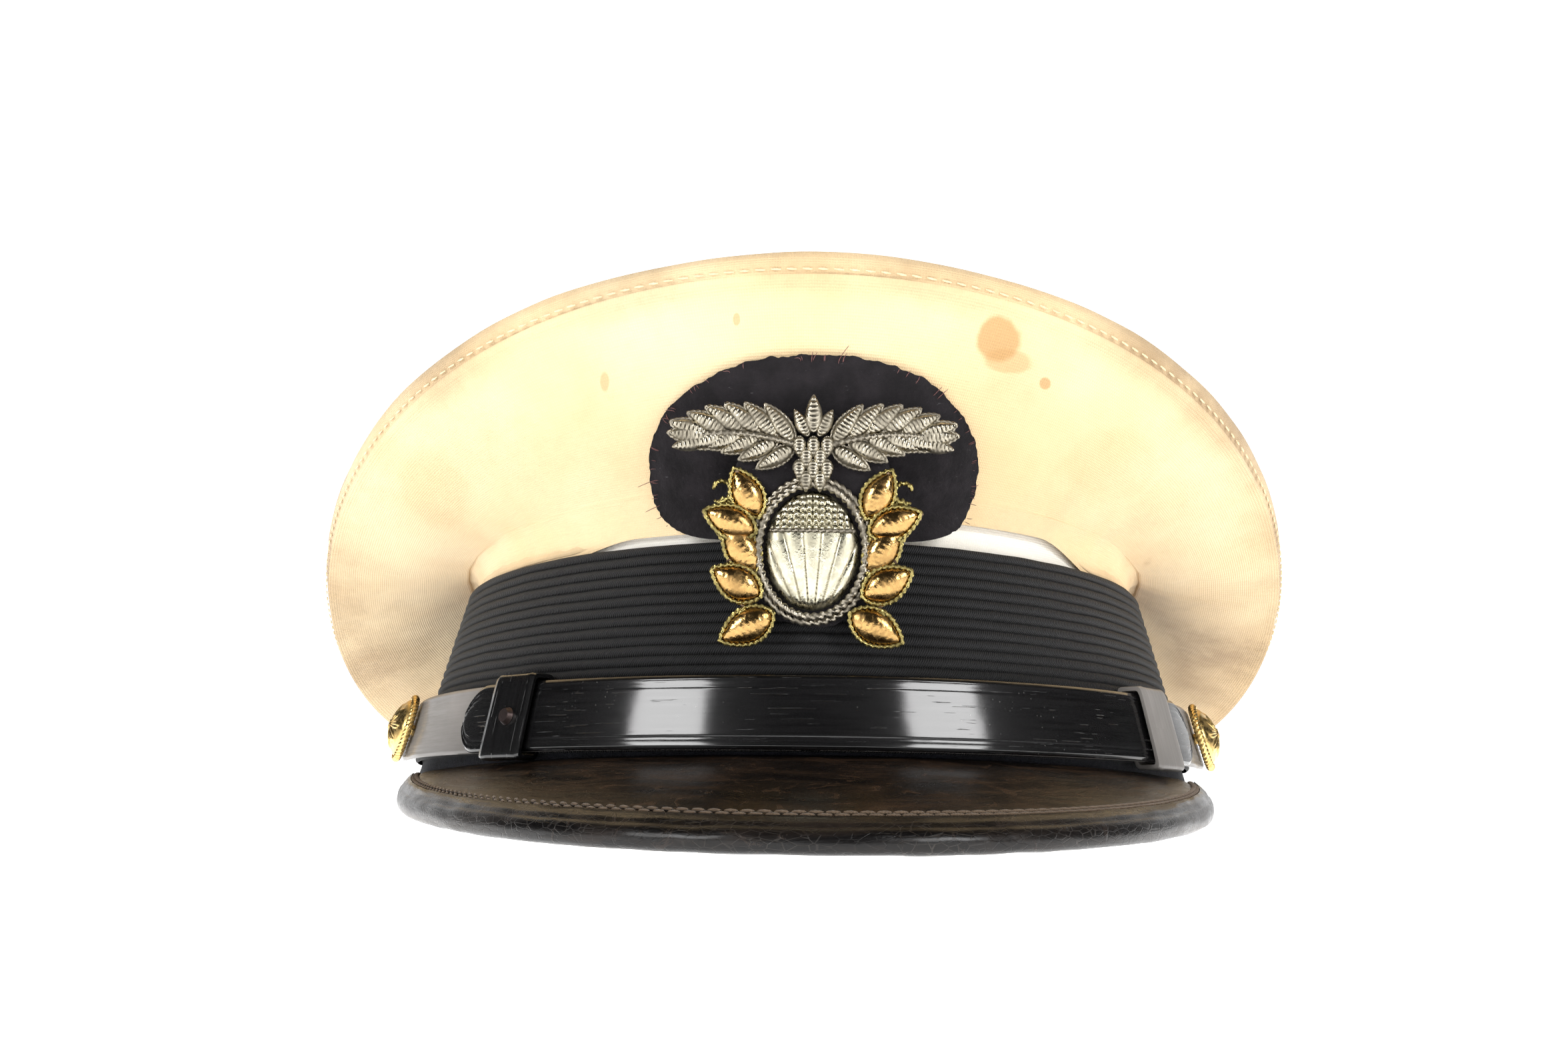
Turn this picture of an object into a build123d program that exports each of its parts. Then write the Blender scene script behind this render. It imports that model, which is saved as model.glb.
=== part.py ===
from build123d import *

import os
from math import atan2, cos, degrees, pi, radians, sin, sqrt

# A peaked cap, in millimetres. The origin is the middle of the head opening, in the
# plane of the band's lower edge. +Z is up, the visor points along -Y and +X is the
# wearer's left. Places round the head are angles t: 0 at the front, 180 at the back.

# ---------------------------------------------------------------- driving dimensions
HEAD_HALF_WIDTH = 80.0
HEAD_HALF_LENGTH = 101.0
BAND_HEIGHT = 42.0
SIDE_LEAN = 0.28            # how far the band leans inwards for each mm of height
END_LEAN = 0.12

SWEATBAND_WALL = 1.3
SWEATBAND_HEIGHT = 36.0
PIN_ROOM = 2.6              # between sweatband and stand, for the buttons' split pins
STAND_WALL = 1.6
STAND_RISE = 8.0            # the stand above the band's upper edge
WOOL_WALL = 1.2
BRAID_WALL = 1.8
BRAID_BOTTOM = 6.0
PIPING_DROP = 1.6
PIPING_WALL = 3.0

CROWN_HALF_WIDTH = HEAD_HALF_WIDTH + 30.0
CROWN_FRONT = HEAD_HALF_LENGTH + 20.5         # from the head opening's middle to the rim
CROWN_BACK = HEAD_HALF_LENGTH + 35.0
RIM_FRONT_HEIGHT = 87.5
RIM_SIDE_HEIGHT = 33.0
RIM_BACK_HEIGHT = 17.0
RIM_SHOULDER = 3.3           # how far the rim stands up between the front and the sides
CROWN_MIDDLE_HEIGHT = 64.0
COVER_WALL = 1.0
HEM_HEIGHT = 5.0
HEM_WALL = 1.2
FRONT_PANEL_HALF_DEG = 86.0
RIM_ROLL = 4.5              # the top panel turned down over the rim
WIRE_RADIUS = 0.9

STAY_WIDTH = 12.0
STAY_WALL = 1.0
STAY_TOP = 73.0
STAY_GAP = 0.6              # between the stay and the stand, and the stay and the lining
LINING_WALL = 0.8
LINING_RISE = 7.0

VISOR_HALF_WIDTH = HEAD_HALF_WIDTH + 1.5
VISOR_HORN_Y = -40.0
VISOR_REACH = HEAD_HALF_LENGTH + 15.0         # from the horns' line to the visor's front edge
VISOR_END_DEG = 85.0
VISOR_TAPER = 0.065         # how much the visor narrows between its horns and its front
VISOR_ROOT_RISE = 5.5
VISOR_TIP_DROP = 6.1
VISOR_HORN_RISE = 3.0
VISOR_ARCH = 0.03           # how far the visor's middle stands up, as a share of its depth
VISOR_LEATHER = 0.7
VISOR_BOARD = 1.1
BINDING_WIDTH = 4.2
BINDING_WALL = 0.45

STRAP_WIDTH = 12.2
STRAP_MIDDLE_Z = 12.2
STRAP_WALL = 1.3
KEEPER_WALL = 1.0
KEEPER_WIDTH_DEG = 6.2
KEEPER_RIGHT_DEG = -35.4
KEEPER_LEFT_DEG = 46.0
TIP_RIGHT_DEG = -44.5
TIP_LEFT_DEG = 56.5
STUD_RADIUS = 1.6

BUTTON_DEG = 66.0
BUTTON_RADIUS = 7.0
BUTTON_HEIGHT = 4.6
SHANK_RADIUS = 1.1
PIN_RADIUS = 0.45
PIN_LENGTH = 13.0
WASHER_RADIUS = 4.5

PATCH_WIDTH = 57.0
PATCH_TOP = 71.0
PATCH_SHOULDER = 52.0       # where the patch is widest
PATCH_WALL = 1.2
PATCH_FOLLOW = 0.6          # how much of the cover's curve the stiff patch follows
BADGE_BOTTOM = 25.0
BADGE_TOP = 64.0
BADGE_SPREAD = 24.0         # half the width over the two sprays
BOSS_HALF_WIDTH = 8.0
BOSS_HALF_HEIGHT = 10.0
BULLION_DEPTH = 2.6
BADGE_PAD_WALL = 1.0

BOSS_Z = BADGE_BOTTOM + BOSS_HALF_HEIGHT + 4.0

# ------------------------------------------------------------------ named clearances
JOIN_GAP = 0.15             # between pieces of one body that are sewn together
GLUE_GAP = 0.05             # between the visor's glued layers
SLIDE_GAP = 0.4             # round whatever slides or turns
LIFT_GAP = 0.4              # between the cover and what it lifts off
PATCH_GAP = 1.1             # between the front panel and the patch

# ------------------------------------------------------------------- derived offsets
STAND_IN = SWEATBAND_WALL + PIN_ROOM
STAND_OUT = STAND_IN + STAND_WALL
WOOL_OUT = STAND_OUT + WOOL_WALL
BRAID_OUT = WOOL_OUT + BRAID_WALL
STAND_TOP = BAND_HEIGHT + STAND_RISE
STRAP_IN = BRAID_OUT + KEEPER_WALL + 2 * SLIDE_GAP
STRAP_MID = STRAP_IN + STRAP_WALL
FRONT_STRAP_IN = STRAP_MID + JOIN_GAP
STRAP_OUT = FRONT_STRAP_IN + STRAP_WALL
STRAP_LOW = STRAP_MIDDLE_Z - STRAP_WIDTH / 2
STRAP_HIGH = STRAP_MIDDLE_Z + STRAP_WIDTH / 2
HEM_IN = STAND_OUT + LIFT_GAP
HEM_OUT = HEM_IN + HEM_WALL
HEM_LOW = BAND_HEIGHT + LIFT_GAP
HEM_TOP = HEM_LOW + HEM_HEIGHT
CROWN_MIDDLE_Y = (CROWN_BACK - CROWN_FRONT) / 2
CROWN_HALF_LENGTH = (CROWN_BACK + CROWN_FRONT) / 2
BOARD_TOP = VISOR_LEATHER + GLUE_GAP
UNDERSIDE_TOP = BOARD_TOP + VISOR_BOARD + GLUE_GAP
VISOR_STACK = UNDERSIDE_TOP + VISOR_LEATHER
SHANK_HOLE = SHANK_RADIUS + SLIDE_GAP


# -------------------------------------------------------------------- shared helpers
def band_point(t, offset, z):
    """A point at an offset outside the head opening's wall, at height z."""
    half_width = HEAD_HALF_WIDTH + offset - SIDE_LEAN * z
    half_length = HEAD_HALF_LENGTH + offset - END_LEAN * z
    return Vector(half_width * sin(radians(t)), -half_length * cos(radians(t)), z)


def band_normal(t, z, offset=0.0):
    """The outward direction square to the band's wall."""
    along = band_point(t + 0.1, offset, z) - band_point(t - 0.1, offset, z)
    up = band_point(t, offset, z + 1) - band_point(t, offset, z - 1)
    return along.cross(up).normalized()


def mm_to_deg(length, t, offset):
    """The angle that takes up a length along the band's wall near t."""
    step = band_point(t + 0.5, offset, STRAP_MIDDLE_Z) - band_point(t - 0.5, offset, STRAP_MIDDLE_Z)
    return length / step.length


def oval_wire(offset, z):
    half_width = HEAD_HALF_WIDTH + offset - SIDE_LEAN * z
    half_length = HEAD_HALF_LENGTH + offset - END_LEAN * z
    plane = Plane(origin=(0, 0, z), x_dir=(0, 1, 0), z_dir=(0, 0, 1))
    return Wire([Edge.make_ellipse(half_length, half_width, plane=plane)])


def oval_block(offset, low, high):
    return Solid.make_loft([oval_wire(offset, low), oval_wire(offset, high)], ruled=True)


def oval_shell(inner, outer, low, high):
    """A leaning oval ring between two offsets and two heights."""
    return oval_block(outer, low, high) - oval_block(inner, low, high)


def loft_sections(section, angles, ruled=False):
    """A solid through the closed outlines that section(t) gives at the angles."""
    wires = [Wire.make_polygon(section(t), close=True) for t in angles]
    return Solid.make_loft(wires, ruled=ruled)


def spread(start, stop, count):
    return [start + (stop - start) * i / (count - 1) for i in range(count)]


def wall_points(line, wall):
    """The closed outline of a wall on one side of a line of (distance, height) points."""
    far = []
    for i, (d, z) in enumerate(line):
        d0, z0 = line[max(i - 1, 0)]
        d1, z1 = line[min(i + 1, len(line) - 1)]
        length = sqrt((d1 - d0) ** 2 + (z1 - z0) ** 2)
        far.append((d + (z1 - z0) / length * wall, z - (d1 - d0) / length * wall))
    return line + far[::-1]


def in_plane(start, stop, outline):
    """Puts (distance, height) points in the upright plane from start towards stop."""
    flat = Vector(stop.X - start.X, stop.Y - start.Y, 0).normalized()
    return [Vector(start.X, start.Y, 0) + flat * d + Vector(0, 0, z) for d, z in outline]


def button_line(side):
    """The start and direction of a button's axis, on the side strap's outer face."""
    t = side * BUTTON_DEG
    return band_point(t, STRAP_MID, STRAP_MIDDLE_Z), band_normal(t, STRAP_MIDDLE_Z, STRAP_MID)


def button_plane(side, shift=0.0):
    start, way = button_line(side)
    return Plane(origin=start + way * shift, x_dir=(0, 0, 1), z_dir=way)


def shank_holes(piece):
    """Cuts both buttons' shank holes through a piece."""
    for side in (-1, 1):
        depth = STRAP_OUT + BUTTON_RADIUS
        piece = piece - Solid.make_cylinder(SHANK_HOLE, depth, button_plane(side, -depth + 1.0))
    return piece


# ------------------------------------------------------------------------- the frame
def make_sweatband():
    return oval_shell(0, SWEATBAND_WALL, 0, SWEATBAND_HEIGHT)


def make_sweatband_piping():
    return oval_shell(0, PIPING_WALL, -PIPING_DROP, -JOIN_GAP)


def make_sweatband_bow():
    """A ribbon bow on the sweatband's inside, at the back."""
    back = band_point(180, 0, SWEATBAND_HEIGHT * 0.4)
    place = Pos(0, back.Y - 2.2, back.Z)
    return place * (Box(3.0, 1.6, 3.0) + Box(22.0, 0.8, 4.0))


def make_stand():
    return shank_holes(oval_shell(STAND_IN, STAND_OUT, 0, STAND_TOP))


def make_front_stay():
    """A stiff upright strip inside the stand's front."""
    face = band_point(0, STAND_IN, STAND_TOP).Y
    bottom = SWEATBAND_HEIGHT + 1.0
    strip = Box(STAY_WIDTH, STAY_WALL, STAY_TOP - bottom, align=(Align.CENTER, Align.MIN, Align.MIN))
    return Pos(0, face + STAY_GAP, bottom) * strip


def make_wool_band():
    return shank_holes(oval_shell(STAND_OUT, WOOL_OUT, 0, BAND_HEIGHT))


def make_braid_band():
    return shank_holes(oval_shell(WOOL_OUT, BRAID_OUT, BRAID_BOTTOM, BAND_HEIGHT))


def make_braid_join():
    """The strip that covers the braid's two ends at the back."""
    low = BRAID_BOTTOM + 1.0
    high = BAND_HEIGHT - 1.0

    def outline(t):
        inner = BRAID_OUT + JOIN_GAP
        outer = inner + 0.9
        return [band_point(t, inner, low), band_point(t, outer, low),
                band_point(t, outer, high), band_point(t, inner, high)]

    half = mm_to_deg(6.0, 180, BRAID_OUT)
    return loft_sections(outline, spread(180 - half, 180 + half, 3))


def make_lining():
    """A shallow dome that closes the stand's top."""
    foot = STAND_IN - STAY_WALL - 2 * STAY_GAP
    levels = [(0.0, 0.0), (10.0, 0.45), (28.0, 0.8), (52.0, 1.0)]
    seam = STAND_TOP - 2.0

    def dome(drop):
        wires = []
        for inset, rise in levels:
            lift = Location((0, 0, LINING_RISE * rise - drop))
            wires.append(oval_wire(foot - inset - drop, seam).moved(lift))
        return Solid.make_loft(wires, ruled=True)

    return dome(0) - dome(LINING_WALL)


def make_sweat_shield():
    """The clear lozenge sewn under the lining."""
    z = STAND_TOP - 6.0
    points = [(34, 0), (0, 42), (-34, 0), (0, -42)]
    face = Face(Wire.make_polygon([(x, y, z) for x, y in points], close=True))
    return extrude(face, 0.4)


# --------------------------------------------------------------------------- the cover
def rim_point(t):
    x = CROWN_HALF_WIDTH * sin(radians(t))
    y = CROWN_MIDDLE_Y - CROWN_HALF_LENGTH * cos(radians(t))
    return Vector(x, y, rim_height(t))


def rim_height(t):
    first = (RIM_FRONT_HEIGHT - RIM_BACK_HEIGHT) / 2
    mean = (RIM_FRONT_HEIGHT + RIM_BACK_HEIGHT) / 2
    second = (mean - RIM_SIDE_HEIGHT) / 2
    shoulder = RIM_SHOULDER * (cos(radians(t)) - cos(radians(3 * t)))
    return mean - second + first * cos(radians(t)) + second * cos(radians(2 * t)) + shoulder


def top_height(t, share):
    """The top panel's height at a share of the way from its middle to the rim."""
    power = 4.4 - 2.2 * cos(radians(t))
    rim = rim_height(t)
    return rim + (CROWN_MIDDLE_HEIGHT - rim) * (1 - share ** power)


def make_crown_top():
    """The top panel, turned down over the rim all round."""
    middle = Vector(0, CROWN_MIDDLE_Y, 0)
    hole = 0.06

    def outline(t):
        rim = rim_point(t)
        reach = Vector(rim.X, rim.Y - CROWN_MIDDLE_Y, 0).length
        shares = [hole, 0.3, 0.5, 0.65, 0.77, 0.87, 0.95]
        line = [(reach * s, top_height(t, s)) for s in shares]
        line += [(reach, rim.Z - 0.8), (reach - 1.2, rim.Z - RIM_ROLL)]
        return in_plane(middle, rim, wall_points(line, -COVER_WALL))

    halves = [loft_sections(outline, spread(start, start + 180, 15)) for start in (90, 270)]
    plug_height = top_height(90, hole)
    plug = Solid.make_cylinder(CROWN_HALF_LENGTH * hole * 1.2, COVER_WALL,
                               Plane(origin=(0, CROWN_MIDDLE_Y, plug_height - COVER_WALL)))
    return halves[0].fuse(halves[1]).fuse(plug)


def panel_line(t):
    """The side panel from under the rim in to the hem, as distances from the hem."""
    hem = band_point(t, HEM_OUT - HEM_WALL / 2, HEM_TOP)
    rim = rim_point(t)
    reach = Vector(rim.X - hem.X, rim.Y - hem.Y, 0).length - 2.6
    top = rim.Z - RIM_ROLL - 0.6
    bulge = 2.2 - 1.8 * cos(radians(t / 2)) ** 4
    line = []
    for share in (0.0, 0.3, 0.65, 1.0):
        sag = bulge * sin(pi * share)
        line.append((0.2 + reach * share, HEM_TOP + 1.3 + (top - HEM_TOP - 1.3) * share - sag))
    return hem, rim, line


def make_panel(start, stop, count):
    def outline(t):
        hem, rim, line = panel_line(t)
        return in_plane(hem, rim, wall_points(line, -COVER_WALL))

    inset = 0.15
    return loft_sections(outline, spread(start + inset, stop - inset, count))


def make_hem():
    return oval_shell(HEM_IN, HEM_OUT, HEM_LOW, HEM_TOP)


def grommet_outline(t):
    """The eight-sided section of the stiffening wire that lies in the rim."""
    middle = Vector(0, CROWN_MIDDLE_Y, 0)
    rim = rim_point(t)
    reach = (rim - middle - Vector(0, 0, rim.Z)).length - RIM_ROLL
    height = rim.Z - (1.9 + 2.1 * cos(radians(t)) + 0.4 * cos(radians(2 * t)))
    corners = [radians(45 * i) for i in range(8)]
    ring = [(reach + WIRE_RADIUS * cos(a), height + WIRE_RADIUS * sin(a)) for a in corners]
    return in_plane(middle, rim, ring)


def make_grommet():
    """The spring wire in two runs that meet at the front, open at the back."""
    gap = 1.2
    runs = [spread(gap - 180, 0, 15), spread(0, 180 - gap, 15)]
    halves = [loft_sections(grommet_outline, run) for run in runs]
    return halves[0].fuse(halves[1])


def make_grommet_sleeve():
    """The short sleeve that closes the wire's ends at the back."""
    gap = 1.2 - 0.1
    return loft_sections(grommet_outline, [180 - gap, 180, 180 + gap])


# --------------------------------------------------------------------------- the visor
def visor_edge(s):
    x = VISOR_HALF_WIDTH * sin(radians(s)) * (1 - VISOR_TAPER * abs(sin(radians(2 * s))))
    y = VISOR_HORN_Y - VISOR_REACH * cos(radians(s))
    return Vector(x, y, visor_edge_height(s))


def visor_edge_height(s):
    return VISOR_HORN_RISE - (VISOR_TIP_DROP + VISOR_HORN_RISE) * cos(radians(s)) ** 0.75


def visor_root_height(s):
    return VISOR_HORN_RISE + (VISOR_ROOT_RISE - VISOR_HORN_RISE) * cos(radians(s))


def visor_root(s):
    """Where the visor meets the wool band, below the braid."""
    horn = degrees(atan2(VISOR_HALF_WIDTH / (HEAD_HALF_WIDTH + WOOL_OUT),
                         -VISOR_HORN_Y / (HEAD_HALF_LENGTH + WOOL_OUT)))
    return band_point(s / 90 * horn, WOOL_OUT + JOIN_GAP, 0)


def visor_layer(top, bottom, inset=0.0):
    """One layer of the visor, between two depths below its upper face."""
    def outline(s):
        edge = visor_edge(s)
        root = visor_root(s)
        reach = Vector(edge.X - root.X, edge.Y - root.Y, 0).length
        root_z = visor_root_height(s)
        middle_z = (root_z + edge.Z) / 2 + VISOR_ARCH * reach
        line = [(0, root_z), (reach / 2, middle_z), (reach - inset, edge.Z)]
        upper = [(d, z - top) for d, z in line]
        lower = [(d, z - bottom) for d, z in line]
        return in_plane(root, edge, upper + lower[::-1])

    return loft_sections(outline, spread(-VISOR_END_DEG, VISOR_END_DEG, 25))


def make_visor_top():
    return visor_layer(0, VISOR_LEATHER, BINDING_WALL + JOIN_GAP)


def make_visor_board():
    return visor_layer(BOARD_TOP, BOARD_TOP + VISOR_BOARD, BINDING_WALL + JOIN_GAP)


def make_visor_lining():
    return visor_layer(UNDERSIDE_TOP, VISOR_STACK, BINDING_WALL + JOIN_GAP)


def make_visor_binding():
    """The bound edge, folded over the visor's rim."""
    end = VISOR_END_DEG - 2.0

    def outline(s):
        edge = visor_edge(s)
        root = visor_root(s)
        way = Vector(edge.X - root.X, edge.Y - root.Y, 0)
        width = min(BINDING_WIDTH, way.length * 0.6)
        root_z = visor_root_height(s)
        rise = (root_z - edge.Z) / way.length + 2 * VISOR_ARCH
        start = way.length - width
        low = VISOR_STACK + 2 * JOIN_GAP
        upper = rise * width + 2 * JOIN_GAP
        profile = [
            (way.length, BINDING_WALL), (start, upper + BINDING_WALL), (start, upper),
            (way.length - BINDING_WALL, JOIN_GAP), (way.length - BINDING_WALL, -low),
            (start, rise * width - low), (start, rise * width - low - BINDING_WALL),
            (way.length, -low - BINDING_WALL)]
        return in_plane(root, edge, [(d, edge.Z + z) for d, z in profile])

    return loft_sections(outline, spread(-end, end, 25))


# --------------------------------------------------------------------------- the strap
def strap_run(start, stop, inner, round_start, round_stop):
    """A strap along the band, with each end rounded or cut square."""
    radius = STRAP_WIDTH / 2
    tip_shares = (0.0, 0.12, 0.3, 0.55, 0.8)
    angles = {}
    for end, way, rounded in ((start, 1, round_start), (stop, -1, round_stop)):
        for share in tip_shares if rounded else (0.0,):
            t = end + way * mm_to_deg(radius * share, end, inner)
            angles[t] = radius * sqrt(1 - (1 - share) ** 2) if rounded else radius
            angles[t] = max(angles[t], 1.2)
    first = max(t for t in angles if t < (start + stop) / 2)
    last = min(t for t in angles if t > (start + stop) / 2)
    count = int((last - first) / 5) + 2
    for t in spread(first, last, count)[1:-1]:
        angles[t] = radius
    if round_start:
        angles[start + mm_to_deg(radius, start, inner)] = radius
    if round_stop:
        angles[stop - mm_to_deg(radius, stop, inner)] = radius

    def outline(t):
        low = STRAP_MIDDLE_Z - angles[t]
        high = STRAP_MIDDLE_Z + angles[t]
        outer = inner + STRAP_WALL
        return [band_point(t, inner, low), band_point(t, outer, low),
                band_point(t, outer, high), band_point(t, inner, high)]

    return loft_sections(outline, sorted(angles), ruled=True)


def make_side_strap(side):
    reach = mm_to_deg(STRAP_WIDTH / 2, BUTTON_DEG, STRAP_IN)
    ends = sorted((side * (BUTTON_DEG + reach), side * 1.0))
    return shank_holes(strap_run(ends[0], ends[1], STRAP_IN, side < 0, side > 0))


def make_front_strap():
    return strap_run(TIP_RIGHT_DEG, TIP_LEFT_DEG, FRONT_STRAP_IN, True, True)


def make_keeper(middle):
    """A leather loop round the straps."""
    angles = spread(middle - KEEPER_WIDTH_DEG / 2, middle + KEEPER_WIDTH_DEG / 2, 4)

    def loop(grow):
        def outline(t):
            inner = STRAP_IN - SLIDE_GAP - grow
            outer = STRAP_OUT + SLIDE_GAP + grow
            low = STRAP_LOW - SLIDE_GAP - grow
            high = STRAP_HIGH + SLIDE_GAP + grow
            return [band_point(t, inner, low), band_point(t, outer, low),
                    band_point(t, outer, high), band_point(t, inner, high)]

        return loft_sections(outline, angles, ruled=True)

    inside = loft_sections(lambda t: [
        band_point(t, STRAP_IN - SLIDE_GAP, STRAP_LOW - SLIDE_GAP),
        band_point(t, STRAP_OUT + SLIDE_GAP, STRAP_LOW - SLIDE_GAP),
        band_point(t, STRAP_OUT + SLIDE_GAP, STRAP_HIGH + SLIDE_GAP),
        band_point(t, STRAP_IN - SLIDE_GAP, STRAP_HIGH + SLIDE_GAP)],
        [angles[0] - 0.5] + angles + [angles[-1] + 0.5], ruled=True)
    return loop(KEEPER_WALL) - inside


def make_keeper_stud():
    """The rivet head on the left keeper's face."""
    t = KEEPER_RIGHT_DEG + KEEPER_WIDTH_DEG * 0.05
    face = STRAP_OUT + SLIDE_GAP + KEEPER_WALL + 0.05
    start = band_point(t, face, STRAP_MIDDLE_Z)
    plane = Plane(origin=start, z_dir=band_normal(t, STRAP_MIDDLE_Z, face))
    return plane * extrude(Circle(STUD_RADIUS), 0.9, taper=25)


# -------------------------------------------------------------------------- the buttons
def make_button(side):
    """A domed button shell with a raised rope rim."""
    profile = Plane.XZ * make_face(Polyline(
        (0, 0.9), (BUTTON_RADIUS - 0.7, 0.3), (BUTTON_RADIUS, 0.7), (BUTTON_RADIUS - 0.1, 1.5),
        (BUTTON_RADIUS - 1.2, 2.2), (BUTTON_RADIUS - 2.6, BUTTON_HEIGHT - 0.8),
        (BUTTON_RADIUS - 4.8, BUTTON_HEIGHT - 0.1), (0, BUTTON_HEIGHT), (0, 0.9)))
    return button_plane(side, SLIDE_GAP - 0.3) * revolve(profile, Axis.Z)


def shank_depth():
    return STRAP_MID - STAND_IN + 1.9


def make_shank(side):
    """The shank, from the button's back through the band to its split pin."""
    depth = shank_depth()
    shank = Solid.make_cylinder(SHANK_RADIUS, depth + 0.8, button_plane(side, -depth))
    eye = Solid.make_cylinder(PIN_RADIUS + 0.1, 4 * SHANK_RADIUS, pin_plane(side, 2 * SHANK_RADIUS))
    return shank - eye


def pin_plane(side, back):
    plane = button_plane(side, -shank_depth() + PIN_RADIUS + 0.35)
    return Plane(origin=plane.origin - plane.x_dir * back, x_dir=plane.z_dir, z_dir=plane.x_dir)


def make_pin(side):
    return Solid.make_cylinder(PIN_RADIUS, PIN_LENGTH, pin_plane(side, PIN_LENGTH / 2))


def make_washers():
    """The washers that spread each shank's pull on the stand's inside."""
    rings = []
    for side in (-1, 1):
        inside = STRAP_MID - STAND_IN
        plane = button_plane(side, -inside - 0.55)
        disc = Solid.make_cylinder(WASHER_RADIUS, 0.4, plane)
        rings.append(disc - Solid.make_cylinder(SHANK_HOLE, 1.0, plane))
    return Compound(rings)


# ---------------------------------------------------------------------------- the badge
def panel_face_y(z):
    """The front panel's outer face on the middle line."""
    hem, rim, line = panel_line(0)
    (d0, z0), (d1, z1) = line[0], line[-1]
    return hem.Y - (d0 + (d1 - d0) * (z - z0) / (z1 - z0)) - COVER_WALL


def badge_plane(z, shift=0.0):
    """A plane that leans with the badge, x to the wearer's left and y up the badge."""
    low = Vector(0, band_point(0, BRAID_OUT, BADGE_BOTTOM).Y - 1.2, BADGE_BOTTOM)
    high = Vector(0, panel_face_y(BADGE_TOP) - PATCH_WALL - 1.6, BADGE_TOP)
    up = (high - low).normalized()
    out = Vector(1, 0, 0).cross(up).normalized()
    start = low + up * ((z - BADGE_BOTTOM) / up.Z) + out * shift
    return Plane(origin=start, x_dir=(1, 0, 0), z_dir=out)


def patch_face(x, z):
    """The patch's back face, in front of the hem and the front panel."""
    hem = band_point(0, HEM_OUT, min(z, HEM_TOP)).Y
    middle = min(panel_face_y(z), hem) - PATCH_GAP
    low_back = (HEAD_HALF_LENGTH + HEM_OUT) * (1 - sqrt(1 - (x / (HEAD_HALF_WIDTH - SIDE_LEAN * z)) ** 2))
    high_back = CROWN_HALF_LENGTH * (1 - sqrt(1 - (x / CROWN_HALF_WIDTH) ** 2))
    share = (z - HEM_TOP) / (RIM_FRONT_HEIGHT - HEM_TOP)
    share = min(max(share, 0), 1)
    return middle + (low_back * (1 - share) + high_back * share) * PATCH_FOLLOW


def make_patch():
    """The wool patch that stands up from the band in front of the cover."""
    low = BAND_HEIGHT + 0.6
    half = PATCH_WIDTH / 2

    def outline(x):
        arch = (1 - abs(x / half) ** 2.4) ** (1 / 2.4)
        top = PATCH_SHOULDER + (PATCH_TOP - PATCH_SHOULDER) * arch
        line = [(patch_face(x, z), z) for z in spread(low, top, 5)]
        back = [Vector(x, y, z) for y, z in line]
        front = [Vector(x, y - PATCH_WALL, z) for y, z in line]
        return back + front[::-1]

    columns = [half * sin(radians(angle)) for angle in spread(-90, 90, 17)]
    return loft_sections(outline, columns, ruled=True)


def make_badge_pad():
    """The stiff felt that carries the embroidery in front of the band and patch."""
    plane = badge_plane((BADGE_BOTTOM + BADGE_TOP) / 2)
    outline = Ellipse(BADGE_SPREAD * 0.62, (BADGE_TOP - BADGE_BOTTOM) * 0.47)
    return plane * extrude(outline, BADGE_PAD_WALL)


def make_boss():
    """The padded oval at the badge's middle."""
    plane = badge_plane(BOSS_Z, BADGE_PAD_WALL + JOIN_GAP)
    return plane * extrude(Ellipse(BOSS_HALF_WIDTH, BOSS_HALF_HEIGHT), BULLION_DEPTH, taper=30)


def make_boss_rope():
    plane = badge_plane(BOSS_Z, BADGE_PAD_WALL + JOIN_GAP)
    outer = Ellipse(BOSS_HALF_WIDTH + 1.6, BOSS_HALF_HEIGHT + 1.6)
    inner = Ellipse(BOSS_HALF_WIDTH + 0.2, BOSS_HALF_HEIGHT + 0.2)
    return plane * extrude(outer - inner, BULLION_DEPTH * 0.6)


def leaf(length, width, depth):
    """A padded leaf along +X from its stem."""
    half = width / 2
    outline = make_face(Polyline((0, 0), (length * 0.3, -half), (length * 0.7, -half * 0.85), (length, 0),
                                 (length * 0.7, half * 0.85), (length * 0.3, half), (0, 0)))
    return extrude(outline, depth, taper=20)


def make_sprays():
    """The two silver sprays across the top of the badge."""
    plane = badge_plane(BADGE_TOP - 11.0, BADGE_PAD_WALL + JOIN_GAP)
    leaves = []
    for side in (-1, 1):
        for i, angle in enumerate((4, 26, 52)):
            turn = angle if side > 0 else 180 - angle
            stem = Pos(side * (4.0 - i * 1.1), i * 2.6, 0)
            leaves.append(plane * (stem * Rot(0, 0, turn) * leaf(BADGE_SPREAD - 4.5 - 5.5 * i, 4.2, 2.0)))
    return Compound(split_apart(leaves))


def make_wreath():
    """The gold leaves round the sides and foot of the boss."""
    plane = badge_plane(BOSS_Z, BADGE_PAD_WALL + JOIN_GAP)
    leaves = []
    for side in (-1, 1):
        for i in range(4):
            around = radians(-80 + 33 * i)
            x = side * (BOSS_HALF_WIDTH + 2.4) * cos(around)
            y = (BOSS_HALF_HEIGHT + 2.4) * sin(around)
            turn = degrees(around) + 38
            turn = turn if side > 0 else 180 - turn
            leaves.append(plane * (Pos(x, y, 0) * Rot(0, 0, turn) * leaf(7.6, 4.2, 2.0)))
    return Compound(split_apart(leaves))


def split_apart(pieces):
    """Joins the leaves that overlap and gives the separate solids left."""
    joined = pieces[0]
    for piece in pieces[1:]:
        joined = joined + piece
    return list(joined.solids())


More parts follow.
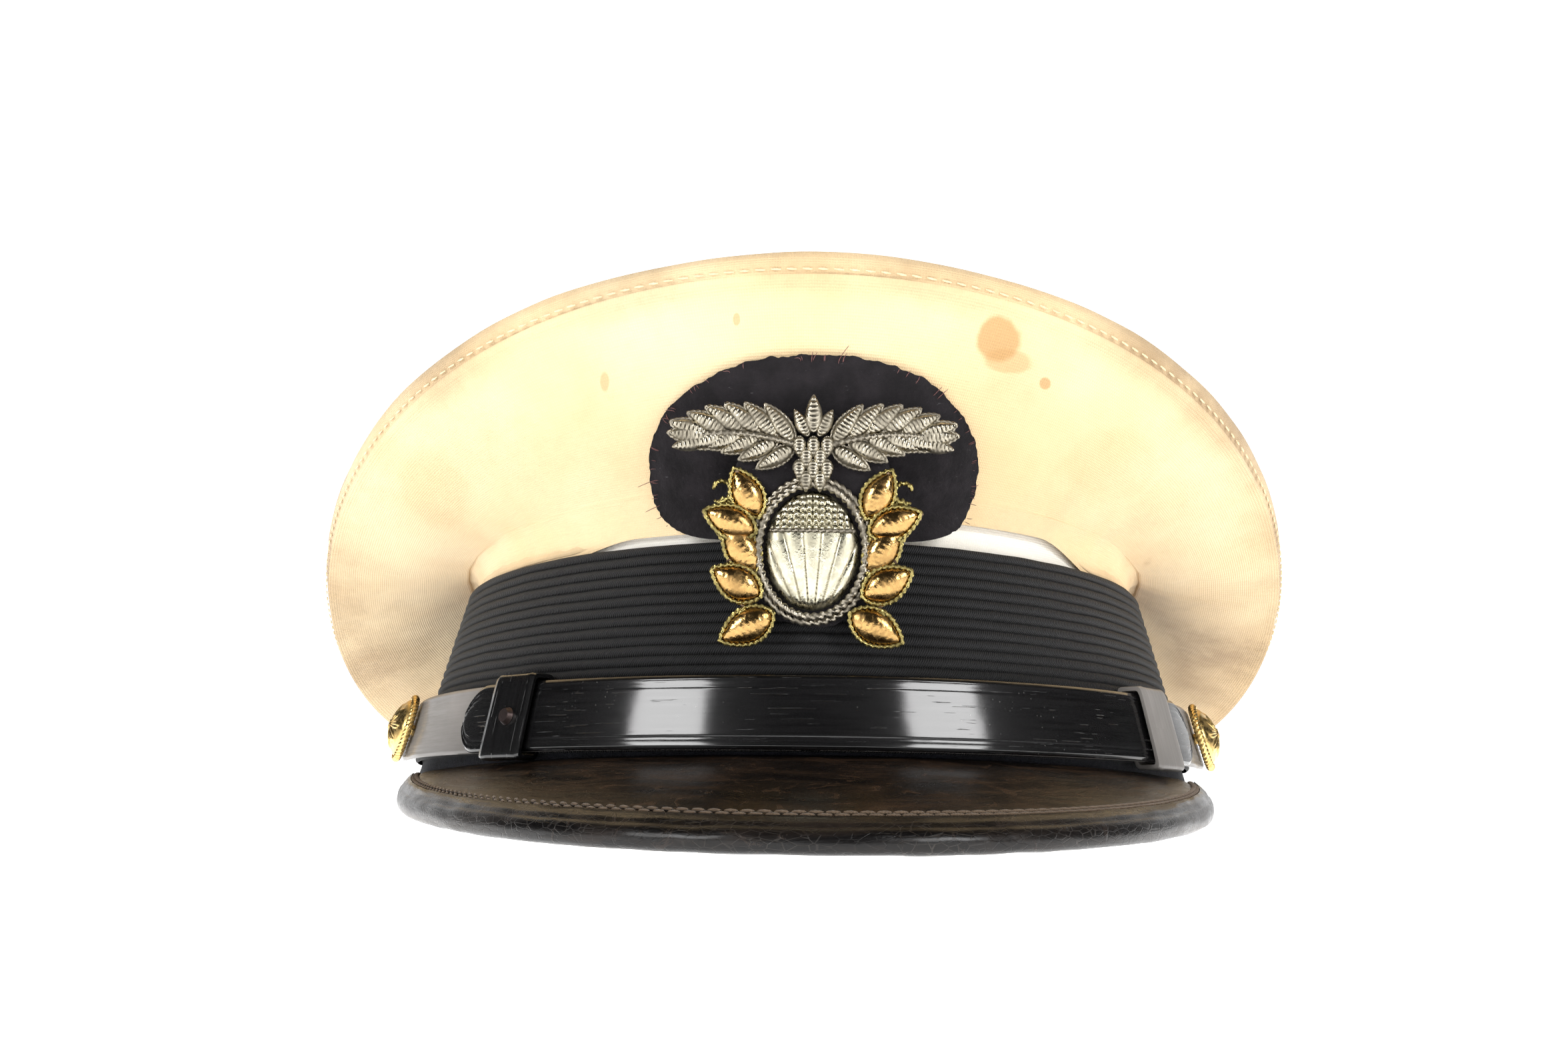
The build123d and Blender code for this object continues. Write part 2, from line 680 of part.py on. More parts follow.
# ---------------------------------------------------------------------------- all parts
def build_parts():
    return {
        "sweatband": make_sweatband(),
        "sweatband_piping": make_sweatband_piping(),
        "sweatband_bow": make_sweatband_bow(),
        "stand_ring": make_stand(),
        "front_stay": make_front_stay(),
        "wool_band": make_wool_band(),
        "braid_band": make_braid_band(),
        "braid_join": make_braid_join(),
        "lining": make_lining(),
        "sweat_shield": make_sweat_shield(),
        "crown_top": make_crown_top(),
        "front_panel": make_panel(-FRONT_PANEL_HALF_DEG, FRONT_PANEL_HALF_DEG, 17),
        "quarter_left": make_panel(FRONT_PANEL_HALF_DEG, 180, 9),
        "quarter_right": make_panel(-180, -FRONT_PANEL_HALF_DEG, 9),
        "cover_hem": make_hem(),
        "grommet_wire": make_grommet(),
        "grommet_sleeve": make_grommet_sleeve(),
        "visor_top": make_visor_top(),
        "visor_board": make_visor_board(),
        "visor_lining": make_visor_lining(),
        "visor_binding": make_visor_binding(),
        "strap_left": make_side_strap(1),
        "strap_right": make_side_strap(-1),
        "strap_front": make_front_strap(),
        "keeper_left": make_keeper(KEEPER_LEFT_DEG),
        "keeper_right": make_keeper(KEEPER_RIGHT_DEG),
        "keeper_stud": make_keeper_stud(),
        "button_left": make_button(1),
        "button_right": make_button(-1),
        "shank_left": make_shank(1),
        "shank_right": make_shank(-1),
        "pin_left": make_pin(1),
        "pin_right": make_pin(-1),
        "button_washers": make_washers(),
        "badge_patch": make_patch(),
        "badge_pad": make_badge_pad(),
        "badge_boss": make_boss(),
        "badge_rope": make_boss_rope(),
        "badge_sprays": make_sprays(),
        "badge_wreath": make_wreath(),
    }


def export_parts():
    os.makedirs("parts", exist_ok=True)
    for name, shape in build_parts().items():
        export_step(shape, f"parts/{name}.step")


export_parts()
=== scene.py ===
from math import atan2, cos, pi, radians, sin, sqrt

import bmesh
import bpy
from mathutils import Matrix, Vector, noise


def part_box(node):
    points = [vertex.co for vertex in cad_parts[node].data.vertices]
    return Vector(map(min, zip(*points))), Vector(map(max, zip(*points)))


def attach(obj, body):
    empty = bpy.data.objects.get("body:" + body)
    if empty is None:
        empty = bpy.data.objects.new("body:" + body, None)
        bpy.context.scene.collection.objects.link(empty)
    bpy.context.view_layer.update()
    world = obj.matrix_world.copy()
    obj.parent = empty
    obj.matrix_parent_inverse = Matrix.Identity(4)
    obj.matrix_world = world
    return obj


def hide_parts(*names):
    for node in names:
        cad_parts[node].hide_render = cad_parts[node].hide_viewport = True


bl_info = {
    "name": "Peaked Cap",
    "version": (1, 0, 0),
    "blender": (4, 5, 0),
    "location": "3D View > Sidebar > Peaked Cap",
    "description": "Builds the cloth, braid, leather and embroidery of a peaked cap round its CAD frame",
    "category": "Object",
}

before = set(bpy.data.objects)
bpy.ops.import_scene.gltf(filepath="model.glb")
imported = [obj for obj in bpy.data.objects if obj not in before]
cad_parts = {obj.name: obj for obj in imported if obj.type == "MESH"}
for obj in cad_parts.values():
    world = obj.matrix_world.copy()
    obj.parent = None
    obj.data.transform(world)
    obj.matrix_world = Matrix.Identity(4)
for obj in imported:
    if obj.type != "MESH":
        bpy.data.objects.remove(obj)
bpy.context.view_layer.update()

MM = 0.001
HEAD_HALF_WIDTH, HEAD_HALF_LENGTH = 80.0, 101.0
SIDE_LEAN, END_LEAN = 0.28, 0.12
BAND_HEIGHT, BRAID_BOTTOM, STAND_TOP = 42.0, 6.0, 50.0
SWEATBAND_HEIGHT = 36.0
STAND_IN, STAND_OUT, WOOL_OUT, BRAID_OUT = 3.9, 5.5, 6.7, 8.5
HEM_MIDDLE, HEM_TOP = 6.5, 47.4
CROWN_HALF_WIDTH, CROWN_MIDDLE_Y, CROWN_HALF_LENGTH = 110.0, 7.25, 128.75
RIM_FRONT, RIM_SIDE, RIM_BACK, RIM_SHOULDER = 87.5, 33.0, 17.0, 3.3
CROWN_MIDDLE_HEIGHT = 64.0
PANEL_HALF = radians(86)
STRAP_MIDDLE_Z, STRAP_WIDTH, STRAP_WALL = 12.2, 12.2, 1.3
STRAP_IN, STRAP_MID, FRONT_STRAP_IN, STRAP_OUT = 10.3, 11.6, 11.75, 13.05
TIP_RIGHT, TIP_LEFT = radians(-44.5), radians(56.5)
KEEPER_HALF = radians(3.1)
KEEPER_RIGHT, KEEPER_LEFT = radians(-35.4), radians(46.0)
BUTTON_ANGLE, BUTTON_RADIUS = radians(66), 7.0
VISOR_HALF_WIDTH, VISOR_HORN_Y, VISOR_REACH = 81.5, -40.0, 116.0
VISOR_HORN = atan2(VISOR_HALF_WIDTH / (HEAD_HALF_WIDTH + WOOL_OUT),
                   -VISOR_HORN_Y / (HEAD_HALF_LENGTH + WOOL_OUT))
VISOR_ROOT_RISE, VISOR_TIP_DROP, VISOR_HORN_RISE = 5.5, 6.1, 3.0
VISOR_TAPER = 0.065
VISOR_LEATHER = 0.7
VISOR_STACK = 2.6
BADGE_LOW_Y, BADGE_SLOPE = -107.8, 0.135
BOSS_Z = 39.0


# ------------------------------------------------------------------ shape helpers, in mm
def band_point(t, offset, z):
    return Vector(((HEAD_HALF_WIDTH + offset - SIDE_LEAN * z) * sin(t),
                   -(HEAD_HALF_LENGTH + offset - END_LEAN * z) * cos(t), z))


def band_normal(t, z):
    along = band_point(t + 0.002, 8, z) - band_point(t - 0.002, 8, z)
    up = band_point(t, 8, z + 1) - band_point(t, 8, z - 1)
    return along.cross(up).normalized()


def rim_height(t):
    first = (RIM_FRONT - RIM_BACK) / 2
    mean = (RIM_FRONT + RIM_BACK) / 2
    second = (mean - RIM_SIDE) / 2
    shoulder = RIM_SHOULDER * (cos(t) - cos(3 * t))
    return mean - second + first * cos(t) + second * cos(2 * t) + shoulder


def rim_point(t):
    return Vector((CROWN_HALF_WIDTH * sin(t), CROWN_MIDDLE_Y - CROWN_HALF_LENGTH * cos(t), rim_height(t)))


def top_height(t, share):
    power = 4.4 - 2.2 * cos(t)
    rim = rim_height(t)
    return rim + (CROWN_MIDDLE_HEIGHT - rim) * (1 - share ** power)


def visor_edge(s):
    height = VISOR_HORN_RISE - (VISOR_TIP_DROP + VISOR_HORN_RISE) * max(cos(s), 0) ** 0.75
    taper = 1 - VISOR_TAPER * abs(sin(2 * s))
    return Vector((VISOR_HALF_WIDTH * sin(s) * taper, VISOR_HORN_Y - VISOR_REACH * cos(s), height))


def visor_root(s):
    root = band_point(s / (pi / 2) * VISOR_HORN, WOOL_OUT + 0.15, 0)
    root.z = VISOR_HORN_RISE + (VISOR_ROOT_RISE - VISOR_HORN_RISE) * cos(s)
    return root


def visor_face(s, share, lift=0.0):
    """A point of the visor's upper face, from its root (0) to its edge (1)."""
    root, edge = visor_root(s), visor_edge(s)
    reach = sqrt((edge.x - root.x) ** 2 + (edge.y - root.y) ** 2)
    point = root.lerp(edge, share)
    point.z += 0.03 * reach * 4 * share * (1 - share) * 0.85 + lift
    return point


def badge_point(x, height, lift=0.0):
    """A point on the leaning badge plane, lifted off it towards the front."""
    out = Vector((0, -1, -BADGE_SLOPE)).normalized()
    return Vector((x, BADGE_LOW_Y - (height - 25) * BADGE_SLOPE, height)) + out * lift


def smooth(low, high, value):
    share = min(max((value - low) / (high - low), 0), 1)
    return share * share * (3 - 2 * share)


def grain(point, size, seed=0.0):
    """Soft noise from -1 to 1 with features about size across."""
    return noise.noise(Vector(point) / size + Vector((seed, seed * 1.7, -seed)))


class Path:
    """A line of points read by its share of the whole length."""

    def __init__(self, points, closed=False):
        self.points = [Vector(p) for p in points] + ([Vector(points[0])] if closed else [])
        self.closed = closed
        self.marks = [0.0]
        for a, b in zip(self.points, self.points[1:]):
            self.marks.append(self.marks[-1] + (b - a).length)
        self.length = self.marks[-1]
        self.cursor = 0

    def at(self, share):
        mark = min(max(share, 0), 1) * self.length
        i = self.cursor if self.marks[self.cursor] <= mark else 0
        while i < len(self.marks) - 2 and self.marks[i + 1] < mark:
            i += 1
        self.cursor = i
        span = self.marks[i + 1] - self.marks[i] or 1
        return self.points[i].lerp(self.points[i + 1], (mark - self.marks[i]) / span)

    def way(self, share):
        step = 0.5 / max(len(self.points), 40)
        low, high = share - step, share + step
        if self.closed:
            return (self.at(high % 1.0) - self.at(low % 1.0)).normalized()
        return (self.at(high) - self.at(low)).normalized()


def add_grid(bm, columns, rows, place, uv_size=(1.0, 1.0), weld=False):
    """Adds a grid whose every vertex goes where place(u, v) says, with a UV map in metres."""
    layer = bm.loops.layers.uv.verify()
    made = bmesh.ops.create_grid(bm, x_segments=columns, y_segments=rows, size=1.0)["verts"]
    for face in {f for v in made for f in v.link_faces}:
        for loop in face.loops:
            x, y = loop.vert.co.x, loop.vert.co.y
            loop[layer].uv = ((x + 1) / 2 * uv_size[0] * MM, (y + 1) / 2 * uv_size[1] * MM)
    for vert in made:
        vert.co = Vector(place((vert.co.x + 1) / 2, (vert.co.y + 1) / 2)) * MM
    if weld:
        bmesh.ops.remove_doubles(bm, verts=made, dist=2e-6)
    return made


def add_cord(bm, path, radius, pitch=1.3, out=None, strands=2, sides=8, twist=0.2, per_pitch=6):
    """A twisted cord along a path; its strands stand out by a share of its radius."""
    columns = max(6, int(path.length / pitch * per_pitch))
    out = out or Vector((0, -1, -BADGE_SLOPE)).normalized()

    def place(u, v):
        share = u
        centre, way = path.at(share), path.way(share)
        side = way.cross(out).normalized()
        top = side.cross(way)
        around = 2 * pi * v
        phase = strands * around - 2 * pi * u * path.length / pitch
        taper = 1.0 if path.closed else min(1.0, 0.25 + 6 * min(u, 1 - u) * path.length / 3)
        r = radius * (1 + twist * cos(phase)) * taper
        if not path.closed and u in (0.0, 1.0):
            r = 0.0
        return centre + side * (r * cos(around)) - top * (r * sin(around))

    add_grid(bm, columns, sides, place, (path.length, 2 * pi * radius), weld=True)


def add_leaf(bm, stem, turn, length, width, depth, ridges=10, slant=0.5, lift=0.0, ridge=0.16, blunt=0.8):
    """A padded leaf on the badge plane, flat below, with slanting ridges and a midrib groove."""
    along = Vector((cos(turn), sin(turn)))
    across = Vector((-sin(turn), cos(turn)))

    def place(u, v):
        around = 2 * pi * v
        half = width / 2 * (sin(pi * u ** blunt)) ** 0.75 if 0 < u < 1 else 0.0
        side = cos(around)
        high = sin(around)
        flat = along * (length * u) + across * (half * side)
        rise = 0.0
        if high > 0 and half > 0:
            body = high ** 0.8 * (half / (width / 2)) ** 0.6
            lines = abs(sin(pi * ridges * (u + slant * abs(side) * width / length)))
            rise = depth * body + ridge * lines * high - 0.35 * ridge * 2 * max(0, 1 - abs(side) * 5) * high
        return badge_point(stem[0] + flat.x, stem[1] + flat.y, lift + rise)

    add_grid(bm, 44, 22, place, (length, width * 2.2), weld=True)


def leaf_outline(stem, turn, length, width, lift, blunt=0.8, grow=0.25):
    along = Vector((cos(turn), sin(turn)))
    across = Vector((-sin(turn), cos(turn)))
    points = []
    for i in range(48):
        around = 2 * pi * i / 48
        u = 0.5 - 0.5 * cos(around)
        half = (width / 2 + grow) * max(sin(pi * u ** blunt), 0) ** 0.75 * (1 if around < pi else -1)
        flat = along * (length * u * (1 + 2 * grow / length) - grow) + across * half
        points.append(badge_point(stem[0] + flat.x, stem[1] + flat.y, lift))
    return Path(points, closed=True)


def add_stitches(bm, path, spacing, length, radius, lean=0.0, out=None):
    """A row of short threads, each a small six-sided bead."""
    count = int(path.length / spacing)
    for i in range(count):
        share = (i + 0.5) / count
        way = path.way(share)
        face = out(share) if out else Vector((0, 0, 1))
        side = way.cross(face).normalized()
        face = side.cross(way).normalized()
        way = (way + side * lean).normalized()
        side = way.cross(face).normalized()
        turn = Matrix((way, side, face)).transposed().to_4x4()
        size = Matrix.Diagonal((length / 2, radius, radius * 0.8, 1))
        spot = Matrix.Translation(path.at(share) * MM)
        bmesh.ops.create_uvsphere(bm, u_segments=6, v_segments=4, radius=1.0,
                                  matrix=spot @ turn @ size @ Matrix.Diagonal((MM, MM, MM, 1)))


def finish_piece(bm, name, body, material, replaces=(), wall=0.0, sharp=60, closed=True):
    """Turns a bmesh into a piece that rides on its body and stands for its CAD nodes."""
    if closed:
        bmesh.ops.recalc_face_normals(bm, faces=bm.faces[:])
    if wall:
        bmesh.ops.solidify(bm, geom=bm.faces[:], thickness=wall * MM)
    mesh = bpy.data.meshes.new(name)
    bm.to_mesh(mesh)
    bm.free()
    mesh.shade_smooth()
    mesh.set_sharp_from_angle(angle=radians(sharp))
    piece = bpy.data.objects.new(name, mesh)
    bpy.context.scene.collection.objects.link(piece)
    mesh.materials.append(material)
    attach(piece, body)
    if replaces:
        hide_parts(*replaces)
    return piece


# ------------------------------------------------------------------------- shader helpers
class Shader:
    """Builds one node material with a Principled surface."""

    def __init__(self, name, coords="Object", roughness=0.5, metallic=0.0, **fixed):
        self.material = bpy.data.materials.new(name)
        self.material.use_nodes = True
        self.nodes = self.material.node_tree.nodes
        self.links = self.material.node_tree.links
        self.surface = self.nodes["Principled BSDF"]
        self.surface.inputs["Roughness"].default_value = roughness
        self.surface.inputs["Metallic"].default_value = metallic
        for socket, value in fixed.items():
            self.surface.inputs[socket.replace("_", " ")].default_value = value
        self.where = self.node("ShaderNodeTexCoord").outputs[coords]
        self.normal = None

    def node(self, kind, **settings):
        made = self.nodes.new(kind)
        for key, value in settings.items():
            setattr(made, key, value)
        return made

    def put(self, value, socket):
        if isinstance(value, bpy.types.NodeSocket):
            self.links.new(value, socket)
        elif isinstance(value, tuple) and len(value) == 3 and socket.type == "RGBA":
            socket.default_value = (*value, 1.0)
        else:
            socket.default_value = value

    def stretch(self, scale, turn=(0, 0, 0), where=None, place=(0, 0, 0)):
        made = self.node("ShaderNodeMapping")
        made.inputs["Scale"].default_value = scale
        made.inputs["Rotation"].default_value = turn
        made.inputs["Location"].default_value = place
        self.put(where or self.where, made.inputs["Vector"])
        return made.outputs["Vector"]

    def noise(self, scale, detail=3.0, rough=0.55, where=None, bend=0.0):
        made = self.node("ShaderNodeTexNoise")
        for key, value in (("Scale", scale), ("Detail", detail), ("Roughness", rough), ("Distortion", bend)):
            made.inputs[key].default_value = value
        self.put(where or self.where, made.inputs["Vector"])
        return made.outputs["Fac"]

    def cells(self, scale, feature="F1", where=None):
        made = self.node("ShaderNodeTexVoronoi", feature=feature)
        made.inputs["Scale"].default_value = scale
        self.put(where or self.where, made.inputs["Vector"])
        return made.outputs["Distance"]

    def wave(self, scale, direction="X", bend=0.0, where=None, detail=1.0):
        made = self.node("ShaderNodeTexWave", bands_direction=direction)
        for key, value in (("Scale", scale), ("Distortion", bend), ("Detail", detail), ("Detail Scale", 2.0)):
            made.inputs[key].default_value = value
        self.put(where or self.where, made.inputs["Vector"])
        return made.outputs["Fac"]

    def level(self, value, low, high, out_low=0.0, out_high=1.0):
        made = self.node("ShaderNodeMapRange", interpolation_type="SMOOTHSTEP")
        for key, number in (("From Min", low), ("From Max", high), ("To Min", out_low), ("To Max", out_high)):
            made.inputs[key].default_value = number
        self.put(value, made.inputs["Value"])
        return made.outputs["Result"]

    def math(self, operation, a, b=0.0):
        made = self.node("ShaderNodeMath", operation=operation)
        self.put(a, made.inputs[0])
        self.put(b, made.inputs[1])
        return made.outputs[0]

    def mix(self, share, a, b, blend="MIX"):
        made = self.node("ShaderNodeMix", data_type="RGBA", blend_type=blend)
        self.put(share, made.inputs[0])
        self.put(a, made.inputs[6])
        self.put(b, made.inputs[7])
        return made.outputs[2]

    def part(self, axis, where=None):
        made = self.node("ShaderNodeSeparateXYZ")
        self.put(where or self.where, made.inputs[0])
        return made.outputs[axis]

    def attribute(self, name):
        return self.node("ShaderNodeAttribute", attribute_name=name).outputs["Fac"]

    def bump(self, height, distance, strength=1.0):
        made = self.node("ShaderNodeBump")
        made.inputs["Strength"].default_value = strength
        made.inputs["Distance"].default_value = distance
        self.put(height, made.inputs["Height"])
        if self.normal is not None:
            self.put(self.normal, made.inputs["Normal"])
        self.normal = made.outputs["Normal"]

    def done(self, colour, roughness=None):
        self.put(colour, self.surface.inputs["Base Color"])
        if roughness is not None:
            self.put(roughness, self.surface.inputs["Roughness"])
        if self.normal is not None:
            self.put(self.normal, self.surface.inputs["Normal"])
        return self.material


def spot(shader, middle, size, wobble=0.35, scale=140):
    """A blot round a point: 1 inside, 0 outside, with a ragged edge."""
    centred = shader.stretch(tuple(1 / s for s in size), place=tuple(-m / s for m, s in zip(middle, size)))
    length = shader.node("ShaderNodeVectorMath", operation="LENGTH")
    shader.put(centred, length.inputs[0])
    ragged = shader.math("MULTIPLY", shader.math("SUBTRACT", shader.noise(scale, 3), 0.5), wobble * 2.2)
    return shader.level(shader.math("ADD", length.outputs["Value"], ragged), 0.75, 1.05, 1.0, 0.0)


def cotton_material(name, colour, edge_colour, stained):
    cloth = Shader(name, roughness=0.85, Sheen_Weight=0.25, Sheen_Roughness=0.5, Specular_IOR_Level=0.25)
    flat = cloth.node("ShaderNodeTexCoord").outputs["UV"]
    warp = cloth.wave(690, "X", 0.6, flat)
    weft = cloth.wave(640, "Y", 0.6, flat)
    weave = cloth.math("MULTIPLY", warp, weft)
    slub = cloth.noise(1.0, 2, where=cloth.stretch((120, 2600, 1), where=flat))
    broad = cloth.noise(14, 4, 0.6)
    fine = cloth.noise(70, 5, 0.65)
    tone = cloth.mix(cloth.level(broad, 0.3, 0.75), colour, edge_colour)
    tone = cloth.mix(cloth.level(fine, 0.45, 0.8, 0, 0.35), tone, tuple(c * 0.72 for c in edge_colour))
    tone = cloth.mix(cloth.level(slub, 0.35, 0.7, 0.0, 0.10), tone, tuple(c * 0.6 for c in colour))
    tone = cloth.mix(cloth.math("MULTIPLY", cloth.math("SUBTRACT", 1.0, weave), 0.14), tone,
                     tuple(c * 0.45 for c in colour))
    if stained:
        # The grime attribute darkens the cloth towards brown: random dirt, plus painted shade along the rim and sides.
        grime = cloth.attribute("grime")
        tone = cloth.mix(cloth.math("MULTIPLY", grime, cloth.level(fine, 0.2, 0.7, 0.45, 1.0)), tone,
                         (0.27, 0.175, 0.09))
        # Brown stains, and two marks of painted shade along the right-side crease.
        for middle, size, depth in STAINS_AND_CREASE_SHADE:
            inside = cloth.math("MULTIPLY", spot(cloth, middle, size), depth)
            tone = cloth.mix(inside, tone, (0.42, 0.235, 0.085))
        specks = cloth.level(cloth.cells(120), 0.0, 0.055, 1.0, 0.0)
        chosen = cloth.level(cloth.noise(9, 2), 0.62, 0.7)
        tone = cloth.mix(cloth.math("MULTIPLY", cloth.math("MULTIPLY", specks, chosen), 0.55), tone,
                         (0.25, 0.14, 0.06))
    cloth.bump(weave, 0.00012, 0.7)
    cloth.bump(cloth.noise(180, 3), 0.0006, 0.35)
    return cloth.done(tone)


STAINS_AND_CREASE_SHADE = [
    ((0.0315, -0.113, 0.0755), (0.0042, 0.02, 0.0036), 0.75),
    ((0.0335, -0.113, 0.0725), (0.0048, 0.02, 0.0020), 0.45),
    ((0.0405, -0.110, 0.0700), (0.0012, 0.02, 0.0010), 0.7),
    # These two brown marks lie along the crease on the right side: painted shade in the crease.
    ((0.0715, -0.060, 0.0455), (0.0022, 0.02, 0.0042), 0.55),
    ((0.0700, -0.060, 0.0380), (0.0026, 0.02, 0.0080), 0.30),
    ((-0.0360, -0.112, 0.0690), (0.0010, 0.02, 0.0018), 0.45),
    ((-0.0130, -0.118, 0.0770), (0.0006, 0.02, 0.0009), 0.5),
    ((-0.0730, -0.080, 0.0560), (0.0090, 0.03, 0.0075), 0.16),
    ((0.0560, -0.090, 0.0600), (0.0110, 0.03, 0.0060), 0.10),
]


def braid_material():
    braid = Shader("braid_mohair", roughness=0.7, Sheen_Weight=0.05, Sheen_Roughness=0.35,
                   Specular_IOR_Level=0.25)
    flat = braid.node("ShaderNodeTexCoord").outputs["UV"]
    along, up = braid.part("X", flat), braid.part("Y", flat)
    row = braid.math("DIVIDE", up, 0.0018)
    inside = braid.math("FRACT", row)
    bend = braid.math("MULTIPLY", inside, 0.0011)
    # The grooves between the ribs are painted near black: painted shade in the grooves.
    painted_valley_shade = braid.level(braid.math("ABSOLUTE", braid.math("SUBTRACT", inside, 0.5)), 0.30, 0.48, 1.0, 0.12)
    strand = braid.math("SINE", braid.math("MULTIPLY", braid.math("ADD", along, bend), 2 * pi / 0.00095))
    strand = braid.math("POWER", braid.math("ABSOLUTE", strand), 0.7)
    fuzz = braid.noise(2600, 3, 0.7, where=flat)
    fleck = braid.level(braid.noise(1.0, 2, where=braid.stretch((900, 3200, 1), (0, 0, 0.5), flat)), 0.66, 0.76)
    patchy = braid.level(braid.noise(24, 3, where=flat), 0.35, 0.7)
    tone = braid.mix(strand, (0.0015, 0.0015, 0.002), (0.0135, 0.0135, 0.0145))
    tone = braid.mix(braid.math("MULTIPLY", patchy, 0.35), tone, (0.019, 0.0185, 0.0185))
    tone = braid.mix(braid.math("MULTIPLY", fleck, 0.22), tone, (0.12, 0.115, 0.11))
    tone = braid.mix(painted_valley_shade, (0.0006, 0.0006, 0.0008), tone)
    braid.bump(strand, 0.00025, 0.9)
    braid.bump(fuzz, 0.00012, 0.6)
    return braid.done(tone)


def felt_material(name, colour, scale=1400):
    felt = Shader(name, roughness=0.95, Sheen_Weight=0.08, Sheen_Roughness=0.6, Specular_IOR_Level=0.12)
    fuzz = felt.noise(scale, 4, 0.7)
    clump = felt.noise(scale / 6, 4, 0.6)
    lint = felt.level(felt.noise(1.0, 2, where=felt.stretch((700, 700, 2400), (0.3, 0.4, 0.9))), 0.70, 0.78)
    tone = felt.mix(felt.level(clump, 0.3, 0.7), tuple(c * 0.6 for c in colour), tuple(c * 1.5 for c in colour))
    tone = felt.mix(felt.math("MULTIPLY", lint, 0.2), tone, (0.2, 0.19, 0.2))
    felt.bump(clump, 0.0006, 0.6)
    felt.bump(fuzz, 0.0003, 0.9)
    return felt.done(tone)


def patent_material(name="patent_leather", dark=(0.0012, 0.0012, 0.0014), pale=(0.003, 0.003, 0.0032),
                    coat=1.0):
    patent = Shader(name, roughness=0.42, Coat_Weight=coat, Coat_Roughness=0.11,
                    Specular_IOR_Level=0.1)
    flat = patent.node("ShaderNodeTexCoord").outputs["UV"]
    brushed = patent.noise(1.0, 5, 0.7, where=patent.stretch((60, 2200, 1), where=flat))
    scratch = patent.level(patent.noise(1.0, 2, where=patent.stretch((90, 4200, 1), (0, 0, 0.22), flat)), 0.66, 0.7)
    dust = patent.level(patent.cells(900), 0.0, 0.16, 1.0, 0.0)
    chosen = patent.level(patent.noise(55, 2), 0.56, 0.66)
    specks = patent.math("MULTIPLY", dust, chosen)
    haze = patent.level(patent.noise(26, 4, 0.6), 0.4, 0.8)
    tone = patent.mix(haze, dark, pale)
    tone = patent.mix(patent.math("MULTIPLY", specks, 0.45), tone, (0.20, 0.19, 0.18))
    patent.bump(patent.noise(60, 3), 0.0006, 0.10)
    patent.bump(brushed, 0.00003, 0.3)
    patent.bump(patent.math("SUBTRACT", 1.0, scratch), 0.00005, 0.6)
    coat_normal = patent.surface.inputs.get("Coat Normal")
    material = patent.done(tone, patent.level(brushed, 0.3, 0.7, 0.3, 0.6))
    patent.put(patent.normal, coat_normal)
    return material


def visor_material(name, light, dark, cracked=False):
    hide = Shader(name, roughness=0.4, Coat_Weight=0.22, Coat_Roughness=0.2, Specular_IOR_Level=0.15)
    flat = hide.node("ShaderNodeTexCoord").outputs["UV"]
    streak = hide.noise(1.0, 6, 0.72, where=hide.stretch((40, 260, 1), (0, 0, 0.25), flat), bend=0.8)
    worn = hide.level(hide.noise(48, 5, 0.65), 0.42, 0.66)
    fine = hide.noise(900, 4, 0.7)
    tone = hide.mix(hide.level(streak, 0.4, 0.68), dark, light)
    tone = hide.mix(hide.math("MULTIPLY", worn, 0.6), tone, tuple(c * 0.45 for c in dark))
    flakes = hide.level(hide.noise(230, 4, 0.7, bend=1.2), 0.58, 0.63)
    tone = hide.mix(hide.math("MULTIPLY", flakes, 0.5), tone, tuple(c * 1.9 for c in light))
    if cracked:
        cracks = hide.level(hide.cells(900, "DISTANCE_TO_EDGE", hide.stretch((0.35, 1.2, 1), where=flat)), 0.0, 0.06)
        open_cracks = hide.math("MULTIPLY", hide.math("SUBTRACT", 1.0, cracks), worn)
        tone = hide.mix(hide.math("MULTIPLY", open_cracks, 0.5), tone, (0.06, 0.052, 0.045))
        hide.bump(cracks, 0.00012, 0.4)
    hide.bump(streak, 0.0007, 0.35)
    hide.bump(fine, 0.00010, 0.5)
    hide.bump(flakes, 0.00010, 0.6)
    return hide.done(tone, hide.level(streak, 0.3, 0.75, 0.26, 0.5))


def bullion_material(name, light, dark, roughness=0.3, grime=0.8, ridge=0.0):
    wire = Shader(name, roughness=roughness, metallic=1.0)
    crease = wire.node("ShaderNodeNewGeometry").outputs["Pointiness"]
    worn = wire.level(crease, 0.44, 0.53)
    tarnish = wire.level(wire.noise(420, 4, 0.7), 0.35, 0.7)
    tone = wire.mix(worn, dark, light)
    tone = wire.mix(wire.math("MULTIPLY", tarnish, grime * 0.6), tone, dark)
    if ridge:
        flat = wire.node("ShaderNodeTexCoord").outputs["UV"]
        coils = wire.wave(0.314 / ridge, "X", 0.4, flat)
        wire.bump(coils, ridge * 0.3, 0.8)
        tone = wire.mix(wire.math("MULTIPLY", wire.math("SUBTRACT", 1.0, coils), 0.5), tone, dark)
    wire.bump(wire.noise(2400, 2), 0.00008, 0.5)
    return wire.done(tone, wire.level(tarnish, 0.0, 1.0, roughness * 0.8, roughness * 1.9))


def brass_material():
    brass = Shader("gilt_brass", roughness=0.3, metallic=1.0)
    crease = brass.node("ShaderNodeNewGeometry").outputs["Pointiness"]
    patina = brass.level(brass.noise(380, 4, 0.7), 0.4, 0.65)
    tone = brass.mix(brass.level(crease, 0.42, 0.53), (0.13, 0.075, 0.02), (0.90, 0.64, 0.25))
    tone = brass.mix(brass.math("MULTIPLY", patina, 0.35), tone, (0.42, 0.27, 0.09))
    brass.bump(brass.noise(900, 3), 0.0001, 0.4)
    return brass.done(tone, brass.level(patina, 0.0, 1.0, 0.24, 0.46))


